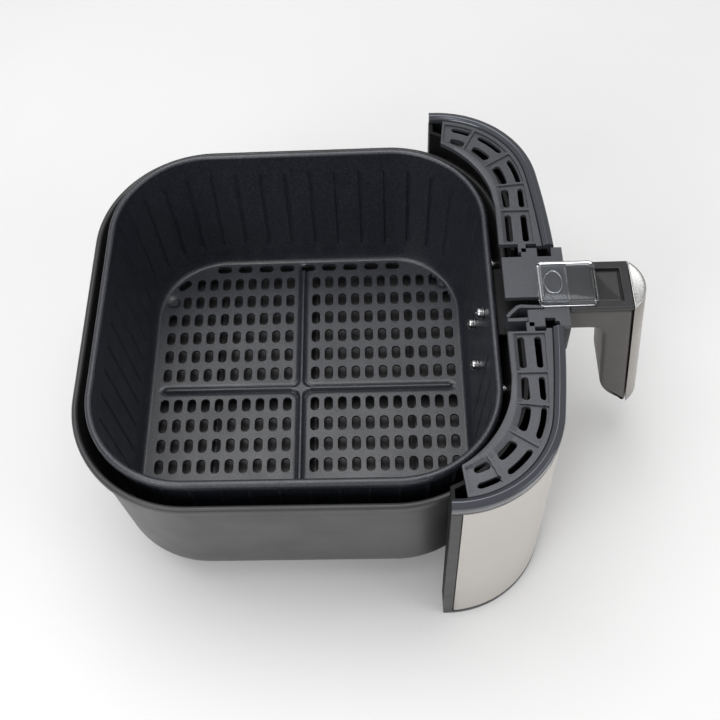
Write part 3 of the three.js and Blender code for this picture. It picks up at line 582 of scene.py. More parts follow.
@finish_for("gloss_black")
def polished_black(name):
    """Polished smoky black plastic, mirror-like, with the faintest waviness."""
    finish = Finish(name, base_colour("gloss_black"), 0.12, 0.55, Specular_IOR_Level=0.5)
    finish.gloss(120.0, 0.09, 0.16)
    finish.bump(finish.noise(25.0, 1.0), 0.0004, 0.25)
    return finish.material


def brushed(name, base, stretch, roughness):
    """Brushed sheet: noise drawn out along the brushing direction sets the shade, the gloss and a
    very shallow scratch."""
    finish = Finish(name, base, roughness, 1.0)
    lines = finish.noise(1.0, 4.0, 0.6, finish.mapped(stretch))
    ground = finish.blend(finish.spread(lines), shade(base, 0.9), shade(base, 1.08))
    tone = finish.spread(finish.noise(12.0), 0.0, 0.35)
    finish.fill(finish.shader, Base_Color=finish.blend(tone, ground, shade(base, 0.92)))
    finish.fill(finish.shader, Roughness=finish.spread(lines, roughness - 0.07, roughness + 0.09))
    finish.bump(lines, 0.000012, 0.5)
    return finish.material


@finish_for("stainless")
def brushed_front(name):
    return brushed(name, base_colour("stainless"), (35.0, 35.0, 2600.0), 0.4)


@finish_for("stainless")
def brushed_cover(name):
    return brushed(name, base_colour("cover"), (2600.0, 2600.0, 30.0), 0.3)


@finish_for("stainless")
def satin_cap(name):
    """Bright satin steel of the cap, evenly brushed and nearly white."""
    return brushed(name, base_colour("cap"), (900.0, 900.0, 40.0), 0.3)


@finish_for("steel")
def polished_steel(name):
    """Plain steel hardware: bright, with fine turning marks and small dull patches."""
    base = base_colour("hardware")
    finish = Finish(name, base, 0.22, 1.0)
    marks = finish.noise(700.0, 3.0)
    finish.fill(finish.shader, Roughness=finish.spread(marks, 0.16, 0.32))
    finish.tint(finish.spread(marks), base, 0.85, 1.1)
    finish.bump(marks, 0.00002, 0.5)
    return finish.material


@finish_for("clear_plastic")
def clear_guard(name):
    """Clear polished plastic, slightly wavy."""
    finish = Finish(name, (0.96, 0.98, 1.0), 0.04, IOR=1.49, Transmission_Weight=1.0,
                    Specular_IOR_Level=0.6)
    finish.gloss(150.0, 0.02, 0.07)
    finish.bump(finish.noise(40.0, 1.0), 0.0003, 0.25)
    return finish.material


# ---------------------------------------------------------------- basket and pan

def refined(lines, widest):
    """The lines with evenly spaced ones added wherever two are more than widest apart."""
    lines = np.unique(np.round(lines, 4))
    gaps = np.diff(lines)
    parts = np.maximum(np.ceil(gaps / widest - 1e-6), 1).astype(int)
    start = np.repeat(lines[:-1], parts)
    share = (np.arange(parts.sum()) - np.repeat(np.cumsum(parts) - parts, parts))
    return np.append(start + share * np.repeat(gaps / parts, parts), lines[-1])


def border_of(cells):
    """Grid points with both kept and left-out cells among the four round them."""
    padded = np.pad(cells, 1)
    touching = [padded[:-1, :-1], padded[1:, :-1], padded[1:, 1:], padded[:-1, 1:]]
    return np.logical_or.reduce(touching) & ~np.logical_and.reduce(touching)


def stadium_loop(place, half_straight, radius, turn, steps=40):
    """Edge of a slot with round ends: a half circle about each end of a line, turned about the
    place."""
    t = np.linspace(0, 2 * math.pi, steps, endpoint=False)
    u = np.sign(np.cos(t).round(9)) * half_straight + radius * np.cos(t)
    v = radius * np.sin(t)
    c, s = math.cos(turn), math.sin(turn)
    return np.stack([place[0] + c * u - s * v, place[1] + s * u + c * v], axis=1)


SLOT_FLARE = 0.35


def tub_floor(lines_x, lines_y, arm, edge, rise, drop, slots=None, corner_slots=()):
    """The flat floor of a tub, as a grid of lines along X and Y. Cells that lie inside the round
    square of half width edge stay, and the outermost points are moved out onto it. rise and drop
    give the upper and lower surface from flat places. Each corner slot, turned by 45 degrees,
    takes the place of a square block of cells. Returns the patches and both edge loops."""
    grid = crossed(lines_x, lines_y)
    centres = crossed(between(lines_x), between(lines_y))
    core = np.clip(grid, -arm, arm)
    away = grid - core
    span = np.linalg.norm(away, axis=-1, keepdims=True)
    inside = span[..., 0] < edge - arm - 0.15
    kept = inside[:-1, :-1] & inside[1:, :-1] & inside[1:, 1:] & inside[:-1, 1:]
    on_edge = free = border_of(kept)
    holes = np.zeros_like(kept)
    if slots is not None:
        holes = nearest_slot(centres, slots)[1] < -1e-6
        free = on_edge & (nearest_slot(grid, slots)[1] > 0.05)
    snapped = core + away / np.maximum(span, 1e-9) * (edge - arm)
    grid = np.where(free[..., None], snapped, grid)
    grows = (SLOT_FLARE, 0.0)
    surfaces = []
    for grow, height in zip(grows, (rise, drop)):
        flat = grid if slots is None else shape_slots(grid, slots, grow)
        surfaces.append(lifted(flat, height(flat)))
    patches = []
    solid = kept & ~holes
    for x, y, spread, half_length, half_width, turn in corner_slots:
        block = kept & np.all(np.abs(centres - (x, y)) < spread, axis=-1)
        rim = border_of(block)
        solid &= ~block
        loops = []
        for surface, grow in zip(surfaces, grows):
            flat = stadium_loop((x, y), half_length - half_width, half_width + grow, turn)
            loops.append(lifted(flat, surface[rim][:, 2].mean()))
            patches.append(zip_patch(loops[-1], surface[rim], (x, y)))
        patches.append(ring_patch(np.array(loops)))
    patches.append(plate_patch(*surfaces, solid, np.pad(holes & kept, 1)))
    return patches, [surface[on_edge] for surface in surfaces]


def tub_patches(floor, loops, wall):
    """The floor and the wall's rings, with the wall's first and last ring sewn to the floor."""
    return floor + [ring_patch(wall), zip_patch(loops[0], wall[0]), zip_patch(loops[1], wall[-1])]


def rolled_rim(half, top, wall_half, wall, roll, lip, drops, gap):
    """Section of a rolled rim, from the wall's inner face over the roll and under its lip to
    just outside the wall. drops say how far below the top the inner face ends, the lip's
    middle lies and the section stops."""
    return np.concatenate([
        [(wall_half - wall, top - drops[0])], arc((half - roll, top - roll), roll, 180, 0, 11),
        arc((half - lip, top - drops[1]), lip, 0, -90, 4), [(wall_half + gap, top - drops[2])]])


def leaning(foot, top, heights, shift=0.0):
    """Points of a straight wall through two (half width, height) places, moved by shift."""
    slope = (top[0] - foot[0]) / (top[1] - foot[1])
    return [(foot[0] + shift + slope * (z - foot[1]), z) for z in heights]


def cross_height(flat, arms, blend, bead, groove):
    """Height of a raised cross with a groove along each side: the distance to the nearer of the
    two arms, smoothly blended where they cross, goes through a bead, a groove and the flat."""
    (x_low, x_high), (y_low, y_high), middle_y = arms
    x, y = flat[..., 0], flat[..., 1] - middle_y
    to_y_arm = np.hypot(x, np.maximum(np.maximum(y_low - flat[..., 1], flat[..., 1] - y_high), 0))
    to_x_arm = np.hypot(y, np.maximum(np.maximum(x_low - x, x - x_high), 0))
    mix = np.clip(blend - np.abs(to_x_arm - to_y_arm), 0, None) / blend
    distance = np.minimum(to_x_arm, to_y_arm) - mix * mix * blend / 4
    top = bead * smooth((1.9 - distance) / 1.5)
    side = groove * np.exp(-((distance - 2.3) / 0.62) ** 2)
    return top - side


def flute_push(run, height, depth, width, first, pitch, low, high, skip):
    """Narrow flutes pressed outwards: a rounded ridge at every pitch along the wall, faded out at
    its two ends and wherever skip is True."""
    off = (run - first + pitch / 2) % pitch - pitch / 2
    across = np.clip(1 - (off / width) ** 2, 0, None)
    fade = smooth((height - low) / 3.0) * smooth((high - height) / 3.0)
    return depth * fade[:, None] * np.where(skip, 0.0, across)[None]


def flute_run(first, pitch, count, width):
    """Places along the wall: closely spaced over each flute and two between flutes."""
    within = np.array([-1.0, -0.6, 0.0, 0.6, 1.0]) * width
    between = np.array([pitch * 0.32, pitch * 0.5, pitch * 0.68])
    offsets = np.concatenate([within, between])
    return (first + pitch * np.arange(count)[:, None] + offsets).ravel()


SLOT_HALF_LENGTH, SLOT_HALF_WIDTH = 4.8, 2.6
COLUMN_PITCH, SLOT_PITCH = 14.8, 9.1
CROSS_Y = 3.4
CORNER_SLOT = (85.7, CROSS_Y + 9.3 * SLOT_PITCH)
FEET = ((-72, 95), (72, 95), (-83, -94.5), (83, -94.5))


def floor_slots():
    """The basket floor's straight slots: six columns each side of the cross, shorter towards the
    rear corners, and a row of turned slots along each side."""
    shape = (SLOT_HALF_LENGTH, SLOT_HALF_WIDTH)
    slots = []
    for side in (-1.0, 1.0):
        for k in range(6):
            rear = np.arange(1, 11 - max(0, k - 3))
            front = -np.arange(1, 12 - (k == 5))
            for step in np.concatenate([rear, front]):
                slots.append((side * (11.7 + COLUMN_PITCH * k), CROSS_Y + step * SLOT_PITCH,
                              *shape, 0.0))
        for k in range(-5, 4):
            slots.append((side * 98.7, CROSS_Y + (k + 0.8) * 15.0, *shape, 1.0))
    return np.array(slots)


class DRAWER_OT_basket(bpy.types.Operator):
    """Builds the fluted basket with its slotted floor, rolled rim and feet"""

    bl_idname = "drawer.basket"
    bl_label = "Basket"

    def execute(self, context):
        size = sizes()
        low, high = box("basket")
        half, top, wall, bottom, edge = high[0], high[2], 1.2, 10.0, 102.4
        wall_half, arm = half - 3.0, 58.0
        radius = wall_half - arm
        slots = floor_slots()
        across = both_sides([0.0, 1.6, SLOT_HALF_WIDTH])
        along = both_sides([2.6, 3.9, SLOT_HALF_LENGTH])
        beside_cross = both_sides([0.5, 1.2, 1.8, 2.3, 2.8, 3.4, 4.6])
        rim_line = both_sides([101.95])
        straight, turned = slots[slots[:, 4] < 0.5], slots[slots[:, 4] > 0.5]
        spread, widest = 5.0, 1.9
        block = both_sides([spread])
        lines_x = refined(np.concatenate([
            (straight[:, :1] + along).ravel(), (turned[:, :1] + across).ravel(), beside_cross,
            rim_line, both_sides(CORNER_SLOT[0] + block)]), widest)
        lines_y = refined(np.concatenate([
            (straight[:, 1:2] + across).ravel(), (turned[:, 1:2] + along).ravel(),
            beside_cross + CROSS_Y, rim_line, CORNER_SLOT[1] + block]), widest)
        arms = ((-98.9, 98.9), (-94.9, 94.6), CROSS_Y)

        def relief(flat):
            near = np.min(np.linalg.norm(flat[..., None, :] - np.array(FEET), axis=-1), axis=-1)
            return (cross_height(flat, arms, 6.0, size.bead_height, size.groove_depth)
                    - 1.3 * smooth((4.4 - near) / 1.6))

        corner_slots = [(side * CORNER_SLOT[0], CORNER_SLOT[1], spread, SLOT_HALF_LENGTH,
                         SLOT_HALF_WIDTH, -side * math.pi / 4) for side in (-1.0, 1.0)]
        floor, loops = tub_floor(
            lines_x, lines_y, arm, edge, lambda flat: bottom + wall + relief(flat),
            lambda flat: bottom + relief(flat), slots, corner_slots)

        perimeter = 4 * (2 * arm + radius * math.pi / 2)
        pitch = perimeter / size.flute_count
        first = perimeter / 2 + arm + 10.0
        run = flute_run(first, pitch, size.flute_count, size.flute_width) % perimeter
        run = np.unique(np.round(run, 5))
        foot, head = (108.8, 22.0), (wall_half, top)
        flute_ends = [26.0, 28.0, 29.5, 31.0, 60.0, 96.0, 97.5, 99.0, 101.0]
        profile = np.concatenate([
            [(edge + 0.5, bottom + wall)],
            fillet_foot(edge + 0.8, foot[0] - wall, bottom + wall, foot[1] + wall),
            leaning(foot, head, flute_ends, -wall),
            rolled_rim(half, top, wall_half, wall, 2.15, 0.9, (4.0, 5.2, 6.0), 0.4),
            leaning(foot, head, [107.0] + flute_ends[::-1]),
            fillet_foot(edge + 0.8, foot[0], bottom, foot[1])[::-1], [(edge + 0.5, bottom)]])
        base = round_square(run, arm, radius)[0]
        skip = (base[:, 1] < -arm + 0.5) & (np.abs(base[:, 0]) < 27.0)
        push = flute_push(run, profile[:, 1], size.flute_depth, size.flute_width, first, pitch,
                          26.5, 100.5, skip)
        sides = tub_rings(run, arm, radius, profile, push)
        piece("basket_tub", tub_patches(floor, loops, sides), "basket", nonstick_coating,
              ["basket"])

        feet = []
        for x, y in FEET:
            foot = turned_body([(0.01, low[2]), (2.6, low[2]), (3.3, low[2] + 0.5), (3.5, 3.0),
                                (3.7, bottom - 1.0), (4.4, bottom - 0.05), (0.01, bottom - 0.05)])
            feet += moved(foot, Matrix.Translation((x, y, 0)))
        piece("basket_feet", feet, "basket", nonstick_coating)
        return {"FINISHED"}


class DRAWER_OT_pan(bpy.types.Operator):
    """Builds the smooth pan with its rolled rim and ribbed floor"""

    bl_idname = "drawer.pan"
    bl_label = "Pan"

    def execute(self, context):
        high = box("pan")[1]
        half, top, wall, edge = high[0], high[2], 1.2, 110.6
        wall_half, arm = half - 2.5, 56.5
        radius = wall_half - arm
        ribs = np.array([-72.0, -6.0, 60.0])

        def relief(flat):
            near = np.min(np.abs(flat[..., 1, None] - ribs), axis=-1)
            ends = smooth((92.0 - np.abs(flat[..., 0])) / 4.0)
            return 1.6 * ends * smooth((3.2 - near) / 3.0)

        lines_x = np.unique(np.concatenate([
            np.linspace(-108, 108, 37), both_sides([88, 90, 92, 110])]))
        lines_y = np.unique(np.concatenate([
            np.linspace(-108, 108, 25), both_sides([110]),
            (ribs[:, None] + np.array([-3.2, -2.4, -1.6, -0.8, 0, 0.8, 1.6, 2.4, 3.2])).ravel()]))
        floor, loops = tub_floor(lines_x, lines_y, arm, edge, lambda flat: wall + relief(flat),
                                 lambda flat: relief(flat) * 0.8)
        perimeter = 4 * (2 * arm + radius * math.pi / 2)
        run = np.linspace(0, perimeter, 320, endpoint=False)
        foot, head = (118.5, 12.0), (wall_half, top)
        profile = np.concatenate([
            [(edge + 0.4, wall)],
            fillet_foot(edge + 0.8, foot[0] - wall, wall, foot[1] + wall, 12),
            leaning(foot, head, (30.0, 60.0, 90.0), -wall),
            rolled_rim(half, top, wall_half, wall, 1.85, 0.8, (3.5, 4.2, 5.0), 0.5),
            leaning(foot, head, (98.0, 60.0, 30.0)),
            fillet_foot(edge + 0.8, foot[0], 0.0, foot[1], 12)[::-1], [(edge + 0.4, 0.0)]])
        sides = tub_rings(run, arm, radius, profile)
        piece("pan_tub", tub_patches(floor, loops, sides), "drawer", satin_pan_paint, ["pan"])
        return {"FINISHED"}


def closed_band(patch, around):
    """A turned band of open profile, closed by quads from its last level to its first."""
    points, faces = patch
    last = len(points) - around
    first = np.arange(around)
    following = np.roll(first, -1)
    seam = np.stack([first + last, following + last, following, first], axis=1)
    return points, np.concatenate([faces, seam])


class DRAWER_OT_basket_bolts(bpy.types.Operator):
    """Builds the three bolts and washers on the basket's front wall"""

    bl_idname = "drawer.basket_bolts"
    bl_label = "Basket bolts"

    def execute(self, context):
        draft = math.radians(3.8)
        around = 32
        heads, bands = [], []
        for k in (1, 2, 3):
            low, high = box(f"basket_screw_{k}")
            middle = (low + high) / 2
            lie = (Matrix.Translation((middle[0], high[1] - 0.25, middle[2]))
                   @ Matrix.Rotation(math.radians(-90) + draft, 4, "X"))
            head = turned_body([(0.01, -0.95), (0.7, -0.95), (0.95, -0.3), (1.5, -0.08),
                                (2.2, -0.2), (2.9, -0.7), (3.3, -1.4), (3.4, -2.0), (1.9, -2.05),
                                (1.9, -9.4), (0.01, -9.4)], 28)
            heads += moved(head, lie)
            washer = turned_body([(1.95, -2.15), (3.1, -2.15), (3.35, -2.4), (3.35, -3.15),
                                  (3.1, -3.4), (2.9, -3.5), (3.5, -3.55), (3.8, -3.75),
                                  (3.8, -4.3), (3.6, -4.5), (1.95, -4.5)], around)
            bands += [closed_band(band, around) for band in moved(washer[:1], lie)]
        for name, patches, node in (("heads", heads, "screw"), ("washers", bands, "washer")):
            piece(f"basket_bolt_{name}", patches, "basket", polished_steel,
                  [f"basket_{node}_{k}" for k in (1, 2, 3)])
        return {"FINISHED"}


# ---------------------------------------------------------------- curved front

class FrontCurve:
    """The front's outline in plan: a short straight end, a round corner and a gently bulging
    middle, then the same again in mirror image, from +X to -X."""

    def __init__(self):
        low, high = box("fascia_shell")
        self.half, self.front, self.end = high[0], -low[1], -high[1]
        self.low, self.high = low[2], high[2]
        self.corner, self.bulge = 62.0, 600.0
        self.arm = self.half - self.corner
        self.bulge_y = self.bulge - self.front
        reach = self.bulge - self.corner
        self.corner_y = self.bulge_y - math.sqrt(reach ** 2 - self.arm ** 2)
        self.turn = math.atan2(self.bulge_y - self.corner_y, self.arm)

    def at(self, run):
        """Points and outward normals at distances along the half outline, from the +X end; the
        middle of the front is at middle()."""
        run = np.asarray(run, float)
        whole = self.middle()
        mirrored = run > whole
        s = np.where(mirrored, 2 * whole - run, run)
        straight = -self.end - self.corner_y
        bend = self.corner * self.turn
        angle = np.clip((s - straight) / self.corner, 0, self.turn)
        swing = self.turn + np.clip(s - straight - bend, 0, None) / self.bulge
        on_front = s > straight + bend
        on_side = s < straight
        theta = np.where(on_front, swing, angle)
        normal = np.stack([np.cos(theta), -np.sin(theta)], axis=-1)
        centre = np.where(on_front[..., None], (0.0, self.bulge_y), (self.arm, self.corner_y))
        radius = np.where(on_front, self.bulge, self.corner)[..., None]
        points = centre + radius * normal
        side = np.stack([np.full_like(s, self.half), -self.end - s], axis=-1)
        points = np.where(on_side[..., None], side, points)
        mirror = np.where(mirrored, -1.0, 1.0)
        flip = np.stack([mirror, np.ones_like(mirror)], axis=-1)
        return points * flip, normal * flip

    def middle(self):
        return (-self.end - self.corner_y + self.corner * self.turn
                + self.bulge * (math.pi / 2 - self.turn))

    def run_at_x(self, x):
        """Distance along the outline to a place x on the bulging front."""
        return self.middle() - self.bulge * math.asin(x / self.bulge)


def front_lines(curve, extra=()):
    """Places along the outline, closer on the corners, with extra ones for edges."""
    whole = curve.middle()
    bend = curve.corner * curve.turn + 5
    lines = np.concatenate([np.linspace(0, bend, 40), np.linspace(bend, whole, 24), extra])
    return np.unique(np.round(np.concatenate([lines, 2 * whole - lines]), 4))


def curved_plate(curve, run, heights, outer_inset, inner_inset, notch_run, notch_floor):
    """A plate that follows the outline, between two insets that may vary over its grid. It is
    open above notch_floor from notch_run to the same place on the other side."""
    points, normals = curve.at(run)
    surfaces = []
    for inset in (outer_inset, inner_inset):
        inset = np.broadcast_to(inset, (len(run), len(heights)))
        surfaces.append(lifted(points[:, None] - inset[..., None] * normals[:, None], heights))
    in_notch = np.abs(between(run) - curve.middle()) < curve.middle() - notch_run
    return plate_patch(*surfaces, ~(in_notch[:, None] & (between(heights) > notch_floor)))


class DRAWER_OT_front(bpy.types.Operator):
    """Builds the grey front, the brushed sheet set into it and the polished strips above"""

    bl_idname = "drawer.front"
    bl_label = "Curved front"

    def execute(self, context):
        curve = FrontCurve()
        whole = 2 * curve.middle()
        notch_half, notch_floor = 28.6, 96.0
        border, foot, seam, hair = 5.5, 4.0, 0.7, 0.06
        notch_run = curve.run_at_x(notch_half)
        run = front_lines(curve, [notch_run, border, border + hair, border + seam + hair])
        heights = np.array([curve.low, curve.low + 0.5, curve.low + foot, curve.low + foot + hair,
                            0.0, 40.0, 80.0, notch_floor, curve.high])
        deep_run = (run > border + hair / 2) & (run < whole - border - hair / 2)
        deep_z = heights > curve.low + foot + hair / 2
        recess = np.where(deep_run[:, None] & deep_z, 1.7, 0.0) + 0.5 * (heights == curve.low)
        shell = curved_plate(curve, run, heights, recess, 3.2, notch_run, notch_floor)
        piece("front_shell", [shell], "drawer", frame_plastic, ["fascia_shell"])

        run_panel = run[(run > border + seam) & (run < whole - border - seam)]
        z_panel = np.array([curve.low + foot + seam, curve.low + foot + seam + 0.25, 0.0, 40.0,
                            80.0, notch_floor - 0.3, curve.high])
        ends = np.minimum(run_panel - run_panel[0], run_panel[-1] - run_panel)
        ease = 0.25 * (ends < 0.01)[:, None] + 0.25 * (z_panel == z_panel[0])
        sheet = curved_plate(curve, run_panel, z_panel, np.minimum(ease, 0.3), 0.8,
                             notch_run - 0.3, notch_floor - 0.3)
        piece("steel_front", [sheet], "drawer", brushed_front, ["front_panel"])

        points, normals = curve.at(run[run <= notch_run + 1e-6])
        for name, side in (("right", 1), ("left", -1)):
            low, high = box(f"trim_strip_{name}")
            profile = np.concatenate([
                [(3.3, low[2]), (0.3, low[2]), (0.0, low[2] + 0.5), (0.0, high[2] - 3.4)],
                arc((1.7, high[2] - 2.6), 1.7, 180, 105, 7),
                arc((3.6, high[2] - 1.2), 1.2, 120, 40, 5),
                [(5.2, high[2] - 1.0), (6.1, high[2] - 1.5), (6.4, high[2] - 2.2),
                 (6.4, high[2] - 4.9), (3.3, high[2] - 4.9)]])
            flat = points[:, None] - profile[None, :, :1] * normals[:, None]
            rings = lifted(flat * np.array([side, 1.0]), profile[:, 1])
            piece(f"trim_bead_{name}", solid_rings(rings), "drawer", polished_black,
                  [f"trim_strip_{name}"])
        return {"FINISHED"}


def ray_to_circle(start, way, centre, radius):
    """How far along each ray the circle is met from inside: the larger root of
    |start + t * way - centre| = radius."""
    off = start - centre
    half = np.sum(off * way, axis=-1)
    return -half + np.sqrt(np.maximum(half ** 2 - np.sum(off ** 2, axis=-1) + radius ** 2, 0))


class VentBand:
    """Plan of a vent plate. A place a runs along the inner row of slots, first straight and then
    round the corner, and b runs across: -7 at the basket's side, 0 and 9.5 on the two rows, and
    18 at the strip."""

    turn_x, turn_y, turn_radius = 72.0, 87.0, 42.0
    basket_arm, basket_half = 58.0, 122.0
    strip_inset = 6.7
    knots = np.array([-7.0, 0.0, 9.5, 18.0])

    def __init__(self, curve):
        self.curve = curve

    def guide(self, a):
        """The four guide points for each place: on the basket's side, the rows and the strip."""
        theta = np.clip(a - self.turn_x, 0, None) / self.turn_radius
        start = np.stack([np.minimum(a, self.turn_x), np.full_like(a, -self.turn_y)], axis=-1)
        way = np.stack([np.sin(theta), -np.cos(theta)], axis=-1)
        grow = np.degrees(theta) / 30.0
        corner = np.array([self.basket_arm, -self.basket_arm])
        inner = ray_to_circle(start, way, corner, self.basket_half - self.basket_arm)
        inner = np.where(start[:, 0] < self.basket_arm, self.basket_half - self.turn_y, inner)
        edge, inset = self.curve, self.strip_inset
        to_front = ray_to_circle(start, way, np.array([0.0, edge.bulge_y]), edge.bulge - inset)
        centre = np.array([edge.arm, edge.corner_y])
        to_corner = ray_to_circle(start, way, centre, edge.corner - inset)
        hit = start + to_corner[:, None] * way - centre
        on_corner = np.arctan2(-hit[:, 1], hit[:, 0]) < edge.turn
        outer = np.where(on_corner, to_corner, to_front)
        rows = [inner, 42.0 + grow, 51.5 + grow, outer]
        return np.stack([start + reach[:, None] * way for reach in rows], axis=1)

    def place(self, grid):
        """Flat points for (a, b) places: b picks its place between the guides either side."""
        a, b = grid[..., 0].ravel(), grid[..., 1].ravel()
        guides = self.guide(a)
        part = np.clip(np.searchsorted(self.knots, b, side="right") - 1, 0, 2)
        rows = np.arange(len(a))
        first, second = guides[rows, part], guides[rows, part + 1]
        share = (b - self.knots[part]) / (self.knots[part + 1] - self.knots[part])
        return (first + share[:, None] * (second - first)).reshape(grid.shape)


class DRAWER_OT_vents(bpy.types.Operator):
    """Builds the two slotted vent plates with their stepped pockets"""

    bl_idname = "drawer.vents"
    bl_label = "Vent plates"

    def execute(self, context):
        band = VentBand(FrontCurve())
        low, high = box("vent_plate_right")
        half_slot, step = 1.95, 0.12
        start, second_row = band.turn_x, band.knots[2]
        degree = band.turn_radius * math.pi / 180.0
        end = start + 83.5 * degree
        stations = [43.6, 66.6, start + 18 * degree, start + 47.5 * degree, start + 70 * degree]
        lengths = {0.0: (20.0, 14.0, 14.8, 12.4, 8.6), second_row: (20.0, 14.0, 15.6, 14.8, 10.2)}
        slots = np.array([(station, row, long / 2, half_slot, 0.0)
                          for row, row_lengths in lengths.items()
                          for station, long in zip(stations, row_lengths)])
        pockets = np.array([[31.9, 56.0], [57.4, 75.8], [77.0, 95.6], [97.0, 117.0],
                            [118.4, 132.0]])
        across_low, across_high = -4.2, 13.6
        rounding = half_slot * np.array([-1.0, -0.82, -0.5, 0.0, 0.5, 0.82, 1.0])
        along = (slots[:, :1] + np.concatenate([
            -slots[:, 2:3] + (rounding + half_slot)[:3],
            slots[:, 2:3] + (rounding - half_slot)[4:]], axis=1)).ravel()
        lines_a = np.concatenate([
            [24.6, 28.9, 30.6], along, pockets.ravel(), pockets.ravel() + step,
            np.linspace(start, end, 34)])
        lines_a = np.unique(np.round(lines_a[lines_a <= end + 1e-6], 3))
        lines_b = np.unique(np.round(np.concatenate([
            [-7.0, -6.6, across_low - step, across_low, 4.0, 8.5, 14.7, across_high,
             across_high + step, 17.7, 18.0],
            rounding, second_row + rounding]), 3))
        grid = crossed(lines_a, lines_b)
        mid = crossed(between(lines_a), between(lines_b))
        a, b = mid[..., 0], mid[..., 1]
        tab = (b > 4.0) & (b < 8.5)
        horn = (b > 14.7) & (a > 28.9)
        solid = (nearest_slot(mid, slots)[1] > 0) & ((a > 30.6) | tab | horn)

        def depth(flat):
            share = (flat[..., :1] - pockets[:, 0]) / (pockets[:, 1] - pockets[:, 0])
            inside = np.any((share > 0) & (share <= 1.0), axis=-1)
            inside &= (flat[..., 1] > across_low) & (flat[..., 1] < across_high + step / 2)
            return sizes().pocket_depth * inside

        ease = 0.25 * ((grid[..., 1] < -6.9) | (grid[..., 1] > 17.9))
        for name, side in (("right", 1.0), ("left", -1.0)):
            surfaces = [lifted(band.place(shape_slots(grid, slots, grow)) * np.array([side, 1.0]),
                               level)
                        for grow, level in ((0.2, high[2] - depth(grid) - ease),
                                            (0.0, low[2] - 0.9))]
            piece(f"vent_grille_{name}", [plate_patch(*surfaces, solid)], "drawer", vent_grey,
                  [f"vent_plate_{name}"], crease=30.0)
        return {"FINISHED"}


# ---------------------------------------------------------------- handle

def smoothed(points, radii, steps=6):
    """A closed outline of straight edges with each corner rounded: the corner is replaced by a
    quadratic curve that starts and ends radius away from it along the two edges."""
    points = np.asarray(points, float)
    radii = np.asarray(radii, float)[:, None]
    before = np.roll(points, 1, axis=0) - points
    after = np.roll(points, -1, axis=0) - points
    start = points + before / np.linalg.norm(before, axis=1, keepdims=True) * radii
    stop = points + after / np.linalg.norm(after, axis=1, keepdims=True) * radii
    t = np.linspace(0, 1, steps)[None, :, None]
    curve = ((1 - t) ** 2 * start[:, None] + 2 * t * (1 - t) * points[:, None]
             + t ** 2 * stop[:, None])
    return curve.reshape(-1, 2)


class HandleShape:
    """Places on the handle, from the frame's own nodes."""

    lean = 0.107

    def __init__(self):
        low, high = box("handle_cover")
        self.top = box("handle_cap")[1][2]
        self.foot = low[2]
        self.half = high[0]
        self.outer = -high[1] - 0.3
        self.inner = 178.0
        self.collar = -box("neck_deck")[0][1] + 0.3
        self.under = 102.5

    def out(self, z):
        """How far the leaning grip has moved outwards at a height."""
        return self.lean * (self.top - z)


def soften(made, width, segments=2):
    """A small bevel on a piece's sharp edges."""
    bevel = made.modifiers.new("edge", "BEVEL")
    bevel.width = width * MM
    bevel.segments = segments
    bevel.limit_method = "ANGLE"
    bevel.angle_limit = math.radians(40)
    bevel.harden_normals = False


class DRAWER_OT_grip(bpy.types.Operator):
    """Builds the neck, the leaning grip and the frame on top of it"""

    bl_idname = "drawer.grip"
    bl_label = "Grip"

    def execute(self, context):
        shape = HandleShape()
        seam = shape.top - 3.2
        root, toe = 3.0 - shape.collar, shape.foot + 15.0
        outline = smoothed(
            [(root, seam), (root, shape.under),
             (-shape.inner - shape.out(shape.under), shape.under),
             (-shape.inner - shape.out(toe), toe),
             (-shape.outer - shape.out(shape.foot), shape.foot), (-shape.outer, seam)],
            [4.2, 4.2, 8.0, 13.0, 4.2, 4.2], 9)
        rings = across_x(outline, shape.half, sizes().edge_radius, 5)
        piece("handle_body", solid_rings(rings), "basket", grip_plastic, ["handle_grip"])

        button_low, button_high = box("release_button")
        gap, window_half = 0.7, 11.5
        lines_x = both_sides([window_half, shape.half - 0.5, shape.half])
        lines_y = np.array([-shape.outer - 0.05, -shape.outer + 0.45, button_low[1] - gap,
                            button_high[1] + gap, -shape.collar - 0.9, -shape.collar - 0.4])
        grid = crossed(np.sort(lines_x), lines_y)
        solid = np.ones((5, 5), bool)
        solid[2, 2] = False
        ease = (np.abs(grid[..., 0]) > shape.half - 0.1) * 0.45
        top, bottom = lifted(grid, shape.top - ease), lifted(grid, seam + 0.25)
        frame_top = piece("handle_top", [plate_patch(top, bottom, solid)], "basket",
                          frame_plastic)
        soften(frame_top, 0.35)

        collar = soft_box((-27.6, -shape.collar, 97.3), (27.6, -shape.collar + 6.8, 121.6), 1.4)
        piece("collar_plate", collar, "basket", satin_black)
        return {"FINISHED"}


